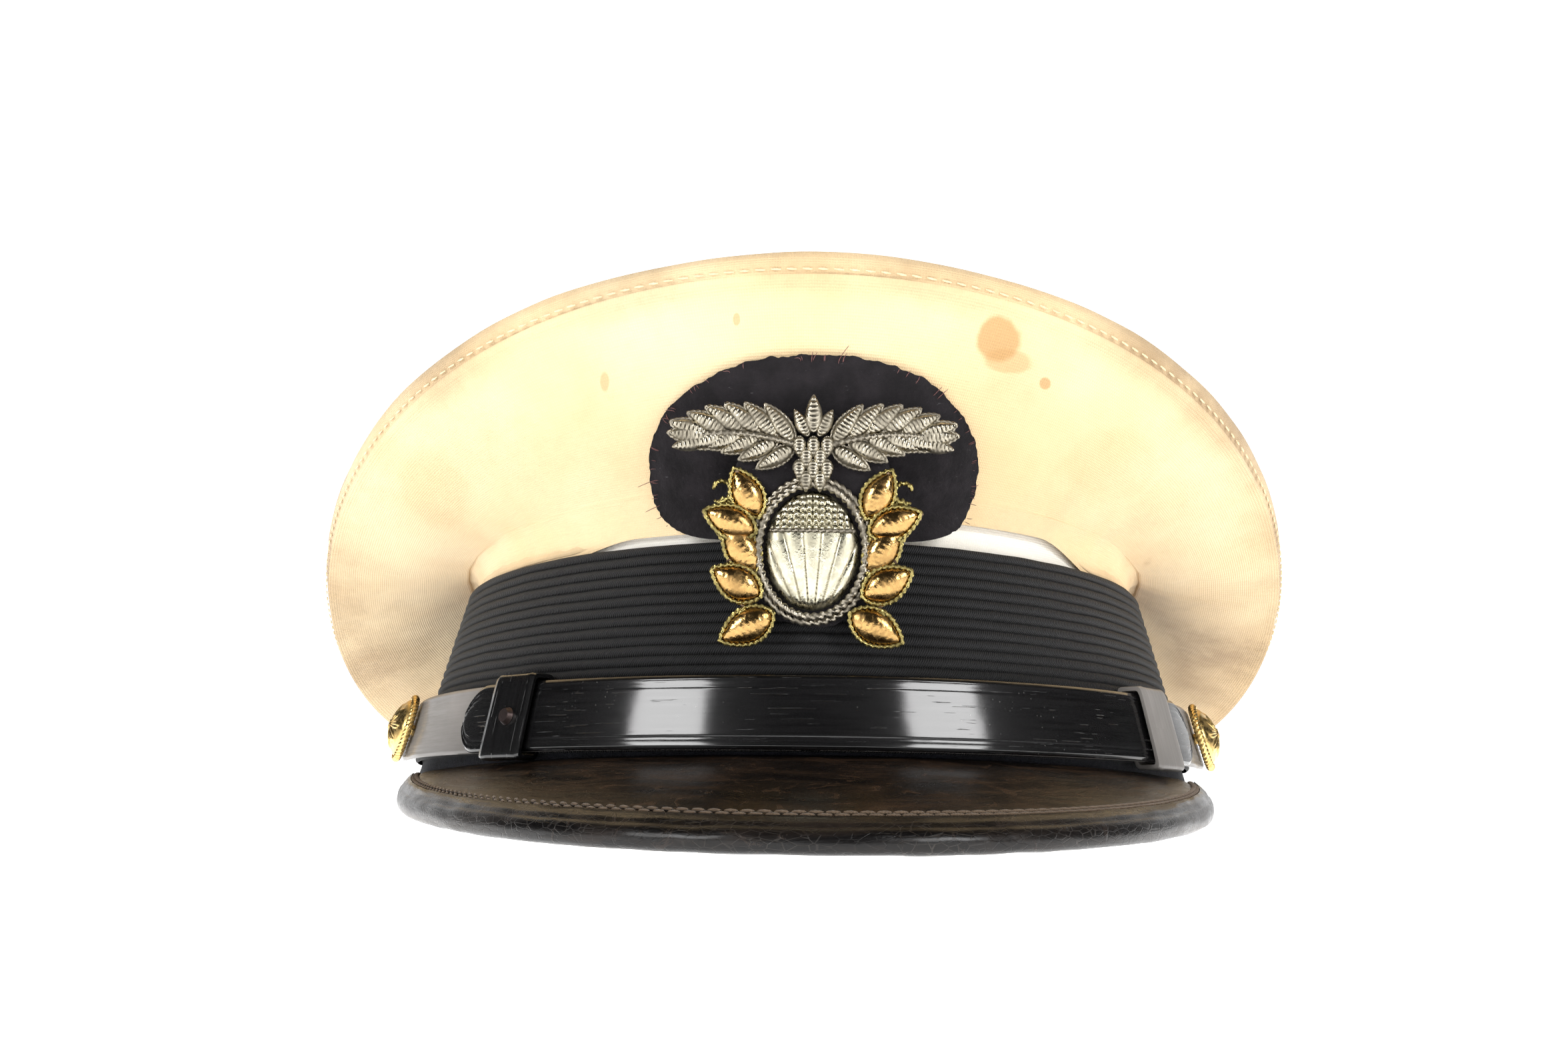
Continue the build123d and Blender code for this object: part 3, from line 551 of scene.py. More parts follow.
def thread_material(name, colour, roughness=0.7):
    thread = Shader(name, roughness=roughness, Sheen_Weight=0.2)
    shade = thread.noise(900, 3, 0.6)
    tone = thread.mix(shade, tuple(c * 0.6 for c in colour), tuple(min(c * 1.3, 1) for c in colour))
    thread.bump(thread.wave(1500, "DIAGONAL"), 0.0001, 0.6)
    return thread.done(tone)


def plain_material(name, colour, roughness, metallic=0.0, scale=300, spread=0.25, **fixed):
    plain = Shader(name, roughness=roughness, metallic=metallic, **fixed)
    shade = plain.noise(scale, 4, 0.6)
    tone = plain.mix(shade, tuple(c * (1 - spread) for c in colour), tuple(min(1, c * (1 + spread)) for c in colour))
    plain.bump(plain.noise(scale * 4, 3), 0.00015, 0.4)
    return plain.done(tone, plain.level(shade, 0.2, 0.8, roughness * 0.85, min(1, roughness * 1.15)))


MATERIALS = {}


def material(name):
    """Gives a named finish, made the first time it is asked for."""
    if name not in MATERIALS:
        MATERIALS[name] = FINISHES[name]()
    return MATERIALS[name]


FINISHES = {
    "cotton": lambda: cotton_material("cover_cotton", cap().cover_colour[:], cap().cover_shade[:], True),
    "white_cotton": lambda: cotton_material("stand_cotton", (0.94, 0.92, 0.87), (0.90, 0.85, 0.74), False),
    "cotton_thread": lambda: thread_material("cover_thread", (0.78, 0.60, 0.36)),
    "visor_thread": lambda: thread_material("visor_thread", (0.13, 0.085, 0.05)),
    "loose_thread": lambda: thread_material("loose_thread", (0.14, 0.045, 0.04)),
    "braid": braid_material,
    "wool": lambda: felt_material("wool_cloth", (0.006, 0.0065, 0.010)),
    "patch": lambda: felt_material("patch_wool", (0.0085, 0.0070, 0.0082), 1100),
    "patent": patent_material,
    # Patent leather painted light grey: a painted reflection of the white surroundings, used on the side straps and the
    # left keeper.
    "painted_reflection_patent": lambda: patent_material("painted_reflection_patent", (0.17, 0.16, 0.15), (0.29, 0.27, 0.255), 0.25),
    "visor": lambda: visor_material("visor_leather", (0.040, 0.022, 0.0125), (0.0065, 0.004, 0.003)),
    "binding": lambda: visor_material("visor_binding_leather", (0.014, 0.010, 0.008), (0.0035, 0.003, 0.003), True),
    "visor_lining": lambda: plain_material("visor_green", (0.035, 0.05, 0.035), 0.6, scale=260),
    "board": lambda: plain_material("visor_board", (0.20, 0.14, 0.09), 0.85),
    "sweat": lambda: plain_material("sweat_leather", (0.23, 0.12, 0.06), 0.5, scale=90, Coat_Weight=0.15),
    "lining": lambda: plain_material("lining_cloth", (0.30, 0.24, 0.16), 0.55, Sheen_Weight=0.3),
    "film": lambda: plain_material("shield_film", (0.62, 0.56, 0.42), 0.2, scale=60, Transmission_Weight=0.4),
    "ribbon": lambda: plain_material("ribbon", (0.03, 0.02, 0.015), 0.45, Sheen_Weight=0.4),
    "brass": brass_material,
    "stud": lambda: plain_material("worn_stud", (0.045, 0.032, 0.030), 0.42, 0.8),
    "steel": lambda: plain_material("steel_wire", (0.35, 0.34, 0.33), 0.38, 1.0),
    "silver": lambda: bullion_material("silver_bullion", (0.40, 0.365, 0.29), (0.06, 0.05, 0.036), 0.3, 0.8),
    "silver_cord": lambda: bullion_material("silver_cord", (0.30, 0.27, 0.215), (0.04, 0.034, 0.026), 0.34, 0.9),
    "silver_plate": lambda: bullion_material("silver_plate", (0.60, 0.57, 0.44), (0.16, 0.14, 0.09), 0.22, 0.5),
    "gold": lambda: bullion_material("gold_bullion", (0.50, 0.31, 0.115), (0.10, 0.052, 0.02), 0.2, 0.6),
    "gold_cord": lambda: bullion_material("gold_cord", (0.33, 0.27, 0.10), (0.035, 0.032, 0.014), 0.3, 0.9),
    "dark_cord": lambda: bullion_material("dark_cord", (0.16, 0.11, 0.075), (0.03, 0.02, 0.015), 0.45, 0.9),
}


# ------------------------------------------------------------------------- settings
class CapSettings(bpy.types.PropertyGroup):
    """What a user would change on the cap."""
    cover_colour: bpy.props.FloatVectorProperty(
        name="Cover colour", description="The cotton cover's colour in the light", subtype="COLOR",
        size=3, min=0, max=1, default=(0.83, 0.66, 0.415))
    cover_shade: bpy.props.FloatVectorProperty(
        name="Cover shade", description="The cotton cover's colour where it has darkened", subtype="COLOR",
        size=3, min=0, max=1, default=(0.73, 0.515, 0.27))
    wrinkle: bpy.props.FloatProperty(
        name="Wrinkle depth", description="How deep the soft wrinkles in the cover are, in millimetres",
        min=0, max=3, default=0.55)
    rib_pitch: bpy.props.FloatProperty(
        name="Rib pitch", description="The height of each rib of the braid, in millimetres",
        min=1, max=4, default=1.8)
    stitch_pitch: bpy.props.FloatProperty(
        name="Stitch pitch", description="The spacing of the cover's stitches, in millimetres",
        min=1.5, max=5, default=2.6)
    lamp_power: bpy.props.FloatProperty(
        name="Lamp power", description="The power of each soft light in front of the cap", unit="POWER",
        min=0, max=100, default=5.3)


def cap():
    return bpy.context.scene.cap_settings


# ------------------------------------------------------------------------- the cover
def cover_wrinkle(point, t):
    """How far the cloth stands off its smooth shape, in millimetres."""
    depth = cap().wrinkle
    soft = grain(point, 34, 3.1) * depth + grain(point, 14, 9.4) * depth * 0.3
    crease = smooth(0.5, 0.75, t) * (1 - smooth(1.15, 1.45, t))
    soft += crease * 0.8 * sin((t * 95 + point.z) * 0.16) * depth
    return soft


def set_dirt_and_shade(piece, amount):
    """Stores how much darker the cloth is at each vertex, from dirt and painted shade, for its material."""
    layer = piece.data.attributes.new("grime", "FLOAT", "POINT")
    for i, vert in enumerate(piece.data.vertices):
        layer.data[i].value = min(max(amount(vert.co / MM), 0), 1)


def rim_dirt_and_shade(point):
    """Darkening that gathers along the rim and low on the sides: partly dirt, partly painted shade where the cloth
    turns away from the front light.
    """
    t = atan2(point.x / CROWN_HALF_WIDTH, -(point.y - CROWN_MIDDLE_Y) / CROWN_HALF_LENGTH)
    below = rim_height(t) - point.z
    edge = 1 - smooth(2.0, 8.5, abs(below - 1.5))
    patchy = 0.5 + 0.7 * grain(point, 26, 5.0)
    return edge * patchy * (0.72 + 0.3 * smooth(0.2, 1.2, abs(t)))


def build_cover_top():
    samples = {}

    def profile(t):
        rim = rim_point(t)
        reach = sqrt(rim.x ** 2 + (rim.y - CROWN_MIDDLE_Y) ** 2)
        shares = [0, 0.15, 0.3, 0.42, 0.53, 0.62, 0.7, 0.77, 0.83, 0.88, 0.92, 0.95, 0.975, 0.99]
        line = [(reach * s, top_height(t, s)) for s in shares]
        line += [(reach - 0.35, rim.z - 0.15), (reach, rim.z - 1.0), (reach - 0.1, rim.z - 2.2),
                 (reach - 1.1, rim.z - 4.6)]
        return Path([(d, 0, z) for d, z in line])

    def place(u, v):
        t = 2 * pi * u + pi
        key = round(u, 6)
        if key not in samples:
            samples[key] = profile(t)
        line = samples[key]
        flat = line.at(v ** 0.8)
        rim = rim_point(t)
        way = Vector((rim.x, rim.y - CROWN_MIDDLE_Y, 0)).normalized()
        point = Vector((0, CROWN_MIDDLE_Y, flat.z)) + way * flat.x
        loose = smooth(0, 12, flat.x) * (1 - smooth(0.93, 0.99, v))
        point.z += cover_wrinkle(point, 0) * loose * 1.6
        point += way * (0.25 * grain(point, 9, 2.0) + 0.35 * grain(point, 30, 6.0)) * smooth(0.9, 1.0, v)
        return point

    bm = bmesh.new()
    add_grid(bm, 300, 64, lambda u, v: place(1 - u, v), (700, 140), weld=True)
    bmesh.ops.recalc_face_normals(bm, faces=bm.faces[:])
    if sum(f.normal.z for f in bm.faces) < 0:
        bmesh.ops.reverse_faces(bm, faces=bm.faces[:])
    piece = finish_piece(bm, "cover_top_cloth", "cover", material("cotton"),
                         ["crown_top"], wall=0.7, closed=False)
    set_dirt_and_shade(piece, lambda p: 0.25 * (0.5 + grain(p, 30, 8.0)) + rim_dirt_and_shade(p) * 1.2)
    return piece


def panel_place(t, share):
    """A point of the side panels, from the hem (0) to the rim seam (1)."""
    hem = band_point(t, HEM_MIDDLE, HEM_TOP)
    rim = rim_point(t)
    flat = Vector((rim.x - hem.x, rim.y - hem.y, 0))
    reach, way = flat.length - 1.4, flat.normalized()
    top = rim.z - 3.9
    bulge = 2.2 - 1.8 * cos(t / 2) ** 4
    strip = 0.13
    share = (share - strip) / (1 - strip)
    low = hem_low(t if t <= pi else t - 2 * pi)
    inside = max(share, 0.0)
    sag = bulge * sin(pi * inside) * 0.9
    swell = 1.6 * sin(pi * min(inside * 1.15, 1)) * cos(t / 2) ** 2
    point = hem + way * (1.0 + (reach - 0.8) * inside - swell)
    point.z = HEM_TOP + 1.2 + (top - HEM_TOP - 1.2) * inside - sag
    if share < 0.09:
        turn = (share + strip / (1 - strip)) / (0.09 + strip / (1 - strip))
        far = hem + way * (1.0 + (reach - 0.8) * 0.09)
        far.z = HEM_TOP + 1.2 + (top - HEM_TOP - 1.2) * 0.09
        near = hem + way * 1.0
        near.z = low - 0.2
        corner = hem + way * 1.0
        corner.z = HEM_TOP + 1.0
        curve = near * (1 - turn) ** 2 + corner * 2 * turn * (1 - turn) + far * turn ** 2
        point = curve + (point - far if share > 0.089 else Vector((0, 0, 0)))
    out = Vector((way.x * 0.6, way.y * 0.6, -0.8)) if rim.z < HEM_TOP else Vector((way.x, way.y, -0.3))
    held = smooth(0.02, 0.2, share) * (1 - smooth(0.86, 1.0, share))
    point += out.normalized() * cover_wrinkle(point, t) * held
    point += out.normalized() * 0.55 * smooth(0.95, 1.0, share)
    pull = sin(t * 46 + 2 * sin(t * 9)) * 0.14 * (1 - smooth(0.0, 0.3, share)) * smooth(-0.15, 0.05, share)
    point += out.normalized() * pull
    return point


def build_panel(name, node, start, stop, columns):
    bm = bmesh.new()
    add_grid(bm, columns, 60, lambda u, v: panel_place(start + (stop - start) * u, v),
             ((stop - start) * 108, 45))
    piece = finish_piece(bm, name, "cover", material("cotton"), [node], wall=0.7, closed=False)
    set_dirt_and_shade(piece, lambda p: rim_dirt_and_shade(p) + 0.12 * max(grain(p, 22, 11.0), 0))
    return piece


def hem_low(t):
    """How low the cover's edge comes; it rides up off the band at the front."""
    right = smooth(0.10, 0.30, t) * (1 - smooth(0.60, 0.84, t))
    left = smooth(0.10, 0.30, -t) * (1 - smooth(0.42, 0.64, -t))
    return BAND_HEIGHT + 0.4 + 5.0 * right + 2.2 * left


def build_hem():
    def place(u, v):
        t = 2 * pi * u + pi
        low = hem_low(t if t <= pi else t - 2 * pi)
        top = HEM_TOP + 1.5
        around = 2 * pi * v
        middle, half = (low + top) / 2, (top - low) / 2
        z = middle + half * max(-1, min(1, 1.35 * sin(around)))
        thick = 0.42 * cos(around) + 0.05 * sin(t * 90)
        return band_point(t, HEM_MIDDLE + thick * (0.5 + 0.5 * abs(cos(around)) ** 0.3), z)

    bm = bmesh.new()
    add_grid(bm, 300, 16, place, (560, 14), weld=True)
    piece = finish_piece(bm, "cover_hem_cloth", "cover", material("cotton"), ["cover_hem"])
    set_dirt_and_shade(piece, lambda p: 0.25 + 0.3 * grain(p, 12, 4.0))
    return piece


def rim_row(drop, inset, start=0.0, stop=2 * pi, count=420):
    points = []
    for i in range(count + 1):
        t = start + (stop - start) * i / count
        rim = rim_point(t)
        way = Vector((rim.x, rim.y - CROWN_MIDDLE_Y, 0)).normalized()
        points.append(rim - way * inset + Vector((0, 0, -drop)))
    return points


def build_seams():
    """The two stitch rows under the rim and the two by each side seam."""
    def outward(path):
        def face(share):
            point = path.at(share)
            return Vector((point.x, point.y * 0.75, -14)).normalized()
        return face

    for name, drop, share in (("rim_stitches_top", 3.3, None), ("rim_stitches_panel", 0, 0.955)):
        bm = bmesh.new()
        if share is None:
            path = Path(rim_row(3.4, 0.15))
        else:
            ring = [panel_place(-pi + 2 * pi * i / 420, share) for i in range(421)]
            for i, point in enumerate(ring):
                way = Vector((point.x, point.y - CROWN_MIDDLE_Y, -20)).normalized()
                ring[i] = point + way * 0.12
            path = Path(ring)
        add_stitches(bm, path, cap().stitch_pitch, 1.9, 0.22, 0.08, outward(path))
        finish_piece(bm, name, "cover", material("cotton_thread"), closed=False)
    bm = bmesh.new()
    for side in (-1, 1):
        for shift in (-0.018, 0.018):
            points = [panel_place(side * (PANEL_HALF - 0.002) + shift, i / 40) for i in range(1, 39)]
            points = [p + Vector((side * 0.1, -0.1, -0.15)) for p in points]
            path = Path(points)
            add_stitches(bm, path, cap().stitch_pitch, 1.8, 0.2, 0.05,
                         lambda share, side=side: Vector((side * 0.5, -0.2, -0.8)))
    finish_piece(bm, "side_seam_stitches", "cover", material("cotton_thread"), closed=False)


class CAP_OT_cover(bpy.types.Operator):
    """Builds the cotton cover: top, panels, hem and stitching"""
    bl_idname = "cap.cover"
    bl_label = "Cotton Cover"

    def execute(self, context):
        build_cover_top()
        front = build_panel("cover_front_cloth", "front_panel", -PANEL_HALF, PANEL_HALF, 300)
        for name, node, start in (("cover_quarter_left_cloth", "quarter_left", PANEL_HALF),
                                  ("cover_quarter_right_cloth", "quarter_right", -pi)):
            quarter = build_panel(name, node, start, start + pi - PANEL_HALF, 150)
        hem = build_hem()
        build_seams()
        return {"FINISHED"}


# ------------------------------------------------------------------------- the band
def ring_piece(name, body, finish, nodes, offset, low, high, wall, columns=240, rows=12, shape=None):
    """A ring of cloth or leather round the head opening, with a rounded section."""
    def place(u, v):
        t = -2 * pi * u
        around = 2 * pi * v
        z = (low + high) / 2 + (high - low) / 2 * max(-1.0, min(1.0, 1.3 * sin(around)))
        thick = wall / 2 * max(-1.0, min(1.0, 1.8 * cos(around)))
        bend = shape(t, z) if shape else 0.0
        return band_point(t, offset + wall / 2 + thick + bend, z)

    bm = bmesh.new()
    add_grid(bm, columns, rows, place, (560, 2.2 * (high - low)), weld=True)
    return finish_piece(bm, name, body, material(finish), nodes)


def build_braid():
    pitch = cap().rib_pitch
    count = int((BAND_HEIGHT - BRAID_BOTTOM) / pitch)
    per_rib = 6

    def place(u, v):
        t = -2 * pi * u
        if v < 0.92:
            share = v / 0.92
            z = BRAID_BOTTOM + (BAND_HEIGHT - BRAID_BOTTOM) * share
            rib = abs(sin(pi * share * count)) ** 0.6
            rib_no = int(share * count * 0.9999)
            wave = 0.12 * grain((t * 90, rib_no * 7.0, 0), 9, 1.0)
            return band_point(t, BRAID_OUT - 0.75 + 0.72 * rib + wave * 0.6, z + wave)
        share = (v - 0.92) / 0.08
        return band_point(t, WOOL_OUT + 0.15, BAND_HEIGHT - (BAND_HEIGHT - BRAID_BOTTOM) * share)

    bm = bmesh.new()
    rows = count * per_rib
    extra = max(2, round(rows * 0.08 / 0.92))
    total = rows + extra

    def spaced(u, v):
        index = v * total
        v = index / rows * 0.92 if index <= rows else 0.92 + (index - rows) / extra * 0.08
        return place(u, v)

    add_grid(bm, 520, total, spaced, (585, (BAND_HEIGHT - BRAID_BOTTOM) / 0.92 * (total / rows) * 0.92),
             weld=True)
    braid = finish_piece(bm, "braid_band_cloth", "frame", material("braid"), ["braid_band"])
    return braid


class CAP_OT_band(bpy.types.Operator):
    """Builds the white stand, the wool band and the ribbed braid round it"""
    bl_idname = "cap.band"
    bl_label = "Band"

    def execute(self, context):
        ring_piece("stand_ring_cloth", "frame", "white_cotton", ["stand_ring"],
                   STAND_IN, 0.1, STAND_TOP, STAND_OUT - STAND_IN)
        ring_piece("wool_band_cloth", "frame", "wool", ["wool_band"],
                   STAND_OUT + 0.03, 0, BAND_HEIGHT, WOOL_OUT - STAND_OUT - 0.06, rows=24,
                   shape=lambda t, z: 0.12 * grain((t * 90, z, 0), 5, 2.0) * (1 - smooth(4, 6, z)))
        build_braid()
        half = 0.066

        def join_place(u, v):
            t = pi - half + 2 * half * u
            around = 2 * pi * v
            z = 24 + 17 * max(-1.0, min(1.0, 1.2 * sin(around)))
            return band_point(t, BRAID_OUT + 0.6 + 0.45 * cos(around) * (1 if 0 < u < 1 else 0.4), z)

        bm = bmesh.new()
        add_grid(bm, 12, 20, join_place, (13, 70), weld=True)
        bmesh.ops.holes_fill(bm, edges=[e for e in bm.edges if e.is_boundary], sides=0)
        finish_piece(bm, "braid_join_cloth", "frame", material("wool"), ["braid_join"])
        return {"FINISHED"}


# ------------------------------------------------------------------------- inside
class CAP_OT_inside(bpy.types.Operator):
    """Builds the sweatband, its piping and bow, and the lining"""
    bl_idname = "cap.inside"
    bl_label = "Sweatband and Lining"

    def execute(self, context):
        ring_piece("sweatband_leather", "frame", "sweat", ["sweatband"],
                   0.05, 0.05, SWEATBAND_HEIGHT, 1.2, rows=28,
                   shape=lambda t, z: 0.15 * grain((t * 80, z, 0), 12, 7.0) * smooth(2, 12, z))
        ring_piece("piping_leather", "frame", "sweat", ["sweatband_piping"],
                   0.05, -1.55, -0.2, 2.9, rows=12)
        bm = bmesh.new()
        path = Path([band_point(-2 * pi * i / 260, 0.45, 3.0) for i in range(261)])
        add_stitches(bm, path, 3.0, 2.0, 0.25, 0.1, lambda s: Vector((0, 0, 1)))
        finish_piece(bm, "sweatband_stitches", "frame", material("cotton_thread"), closed=False)

        bow_low, bow_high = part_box("sweatband_bow")
        middle = (bow_low + bow_high) / 2 / MM
        bm = bmesh.new()
        for side in (-1, 1):
            def loop_place(u, v, side=side):
                around = 2 * pi * v
                swell = sin(pi * u) ** 0.7 if 0 < u < 1 else 0.0
                return middle + Vector((side * (0.6 + 10 * u), 0.4 * sin(around) * (0.3 + swell),
                                        (0.7 + 1.2 * swell) * cos(around)))
            add_grid(bm, 16, 12, loop_place, (11, 8), weld=True)
        bmesh.ops.create_uvsphere(bm, u_segments=12, v_segments=8, radius=1.0,
                                  matrix=Matrix.Translation(middle * MM) @ Matrix.Diagonal((0.0014, 0.0008, 0.0014, 1)))
        bmesh.ops.holes_fill(bm, edges=[e for e in bm.edges if e.is_boundary], sides=0)
        finish_piece(bm, "sweatband_ribbon_bow", "frame", material("ribbon"), ["sweatband_bow"])

        foot, rise = STAND_IN - 2.2, 7.0
        levels = Path([(0, 0, 0.0), (10, 0, 0.45), (28, 0, 0.8), (52, 0, 1.0), (78, 0, 1.0)])

        def dome(u, v):
            t = 2 * pi * u
            spot_on = levels.at(v * 0.999)
            inset, lift = spot_on.x, spot_on.z * rise
            rim = band_point(t, foot, STAND_TOP - 2.2)
            share = 1 - inset / 78
            ripple = 0.5 * grain((rim.x * share, rim.y * share, 0), 16, 3.0) * smooth(0, 8, inset)
            return Vector((rim.x * share, rim.y * share, STAND_TOP - 2.2 + lift + ripple - 0.4))

        bm = bmesh.new()
        add_grid(bm, 160, 30, dome, (480, 90), weld=True)
        bmesh.ops.recalc_face_normals(bm, faces=bm.faces[:])
        if sum(f.normal.z for f in bm.faces) < 0:
            bmesh.ops.reverse_faces(bm, faces=bm.faces[:])
        lining = finish_piece(bm, "lining_sheet", "frame", material("lining"), ["lining"],
                              wall=0.5, closed=False)
        return {"FINISHED"}


# ------------------------------------------------------------------------- the visor
VISOR_END = radians(85)


def build_visor_layer(name, node, top, bottom, finish, inset=0.75, worn=0.0):
    def place(u, v):
        s = -VISOR_END + 2 * VISOR_END * u
        root, edge = visor_root(s), visor_edge(s)
        reach = max((edge - root).length, 0.01)
        last = 1 - inset / reach
        around = 2 * pi * v
        share = 0.5 - 0.5 * max(-1.0, min(1.0, 1.25 * cos(around)))
        upper = sin(around)
        point = visor_face(s, last * share, -top if upper > 0 else -bottom)
        if abs(1.25 * cos(around)) > 1:
            point.z += (bottom - top) / 2 * (-1 if upper > 0 else 1) * (1 - abs(upper) / 0.6)
        if worn and upper > 0:
            dent = grain(point, 16, 1.2) * 0.28 + grain((point.x, point.y * 2.5, 0), 5, 3.3) * 0.07
            point.z += dent * worn * smooth(0, 0.1, share) * (1 - smooth(0.93, 1.0, share))
        return point

    bm = bmesh.new()
    add_grid(bm, 240, 72, place, (300, 110), weld=True)
    bmesh.ops.holes_fill(bm, edges=[e for e in bm.edges if e.is_boundary], sides=0)
    return finish_piece(bm, name, "frame", material(finish), [node])


def build_binding():
    width, wall = 4.0, 0.4

    def place(u, v):
        end = radians(83)
        s = -end + 2 * end * u
        root, edge = visor_root(s), visor_edge(s)
        way = Vector((edge.x - root.x, edge.y - root.y, 0))
        reach = way.length
        way.normalize()
        rise = (root.z - edge.z) / reach + 0.102
        over = min(width, reach * 0.6)
        low = VISOR_STACK + 0.3
        cord = 0.2
        outline = [(-over, rise * over + 0.22), (-over, rise * over + 0.22 + wall),
                   (-over * 0.7, rise * over * 0.7 + 0.1 + wall + cord),
                   (-over * 0.35, rise * over * 0.3 + 0.2 + wall),
                   (-0.9, wall + 0.0), (0.0, wall - 0.35), (0.5, -0.7), (0.7, -low / 2), (0.5, -low + 0.35),
                   (-0.2, -low - wall + 0.25), (-0.9, -low - wall + 0.05), (-over, rise * over - low - wall),
                   (-over, rise * over - low), (-0.75, -low), (-0.75, 0.25)]
        line = Path([(d, 0, z) for d, z in outline], closed=True)
        flat = line.at(v)
        shake = 0.12 * grain((s * 120, flat.x * 3, flat.z * 3), 7, 4.0)
        return Vector((edge.x, edge.y, edge.z + flat.z + shake)) + way * (flat.x + shake - 0.05)

    bm = bmesh.new()
    add_grid(bm, 320, 44, place, (360, 22), weld=True)
    bmesh.ops.holes_fill(bm, edges=[e for e in bm.edges if e.is_boundary], sides=0)
    return finish_piece(bm, "visor_binding_leather", "frame", material("binding"),
                        ["visor_binding"])


class CAP_OT_visor(bpy.types.Operator):
    """Builds the worn leather visor with its bound edge and double stitching"""
    bl_idname = "cap.visor"
    bl_label = "Visor"

    def execute(self, context):
        build_visor_layer("visor_top_leather", "visor_top", 0.0, VISOR_LEATHER, "visor", worn=1.0)
        build_visor_layer("visor_underside_leather", "visor_lining", VISOR_STACK - VISOR_LEATHER, VISOR_STACK,
                          "visor_lining")
        build_binding()
        bm = bmesh.new()
        for inset, lean in ((5.3, 0.35), (6.5, 0.35)):
            points = []
            for i in range(200):
                s = radians(-82) + radians(164) * i / 199
                root, edge = visor_root(s), visor_edge(s)
                reach = max((edge - root).length, 1)
                points.append(visor_face(s, 1 - min(inset / reach, 0.75), 0.32))
            add_stitches(bm, Path(points), 2.3, 2.5, 0.33, lean)
        finish_piece(bm, "visor_stitches", "frame", material("visor_thread"), closed=False)
        return {"FINISHED"}


# ------------------------------------------------------------------------- the strap
def strap_piece(name, body, node, start, stop, inner, round_start, round_stop, columns, tooled=True):
    """A leather strap that follows the band, with tooled border lines and rounded ends."""
    radius = STRAP_WIDTH / 2
    first, second = (band_point(t, inner, STRAP_MIDDLE_Z) for t in (start, start + 0.01))
    step = (second - first).length / 0.01

    def half_at(t):
        half = radius
        for end, rounded in ((start, round_start), (stop, round_stop)):
            gap = abs(t - end) * step
            if rounded and gap < radius:
                half = min(half, radius * sqrt(max(1 - (1 - gap / radius) ** 2, 0)))
        return max(half, 0.15)

    def place(u, v):
        eased = 0.5 - 0.5 * cos(pi * u) if (round_start and round_stop) else u
        t = start + (stop - start) * (0.5 * u + 0.5 * eased)
        half = half_at(t)
        around = 2 * pi * v
        side = max(-1.0, min(1.0, 1.16 * sin(around)))
        face = cos(around)
        height = STRAP_MIDDLE_Z + half * side
        edge_gap = half * (1 - abs(side))
        if face >= 0:
            offset = inner + STRAP_WALL
            offset -= 0.45 * (1 - smooth(0.0, 0.7, edge_gap))
            if tooled:
                offset -= 0.20 * (smooth(0.75, 1.0, edge_gap) - smooth(1.15, 1.4, edge_gap))
                offset -= 0.14 * (smooth(1.6, 1.8, edge_gap) - smooth(1.95, 2.15, edge_gap))
            offset += 0.05 * grain((t * 100, height, 0), 9, 5.0)
        else:
            offset = inner + 0.3 * (1 - smooth(0.0, 0.5, edge_gap))
        return band_point(t, offset, height)

    bm = bmesh.new()
    length = abs(stop - start) * 100
    add_grid(bm, columns, 96, lambda u, v: place(1 - u, v), (length, 28), weld=True)
    bmesh.ops.holes_fill(bm, edges=[e for e in bm.edges if e.is_boundary], sides=0)
    # The side straps take the grey patent, whose colour is a painted reflection of the white surroundings.
    finish = "patent" if node == "strap_front" else "painted_reflection_patent"
    return finish_piece(bm, name, body, material(finish), [node], sharp=75)


def build_keeper(name, body, node, middle):
    """A rounded leather loop round the straps."""
    low, high = STRAP_MIDDLE_Z - STRAP_WIDTH / 2 - 0.45, STRAP_MIDDLE_Z + STRAP_WIDTH / 2 + 0.45
    inner, outer = STRAP_IN - 0.45, STRAP_OUT + 0.45
    wall = 0.95

    def loop(grow, around):
        middle_z, half_z = (low + high) / 2, (high - low) / 2 + grow
        middle_o, half_o = (inner + outer) / 2, (outer - inner) / 2 + grow
        side, face = sin(around), cos(around)
        power = 0.22
        z = middle_z + half_z * (abs(side) ** power * (1 if side > 0 else -1))
        offset = middle_o + half_o * (abs(face) ** power * (1 if face > 0 else -1))
        return offset, z

    def place(u, v):
        around = 2 * pi * u
        section = 2 * pi * v
        across = max(-1.0, min(1.0, 1.15 * cos(section)))
        depth = wall * (0.5 + 0.5 * max(-1.0, min(1.0, 1.4 * sin(section))))
        if abs(across) > 0.86 and depth > wall * 0.6:
            depth -= 0.0
        worn = 0.12 * (smooth(0.7, 0.86, abs(across)) - smooth(0.9, 1.0, abs(across)))
        offset, z = loop(depth + worn, around)
        return band_point(middle + KEEPER_HALF * across, offset, z)

    bm = bmesh.new()
    add_grid(bm, 96, 24, place, (40, 20), weld=True)
    # The left keeper takes the grey patent, whose colour is a painted reflection of the white surroundings.
    finish = "painted_reflection_patent" if node == "keeper_left" else "patent"
    return finish_piece(bm, name, body, material(finish), [node], sharp=70)


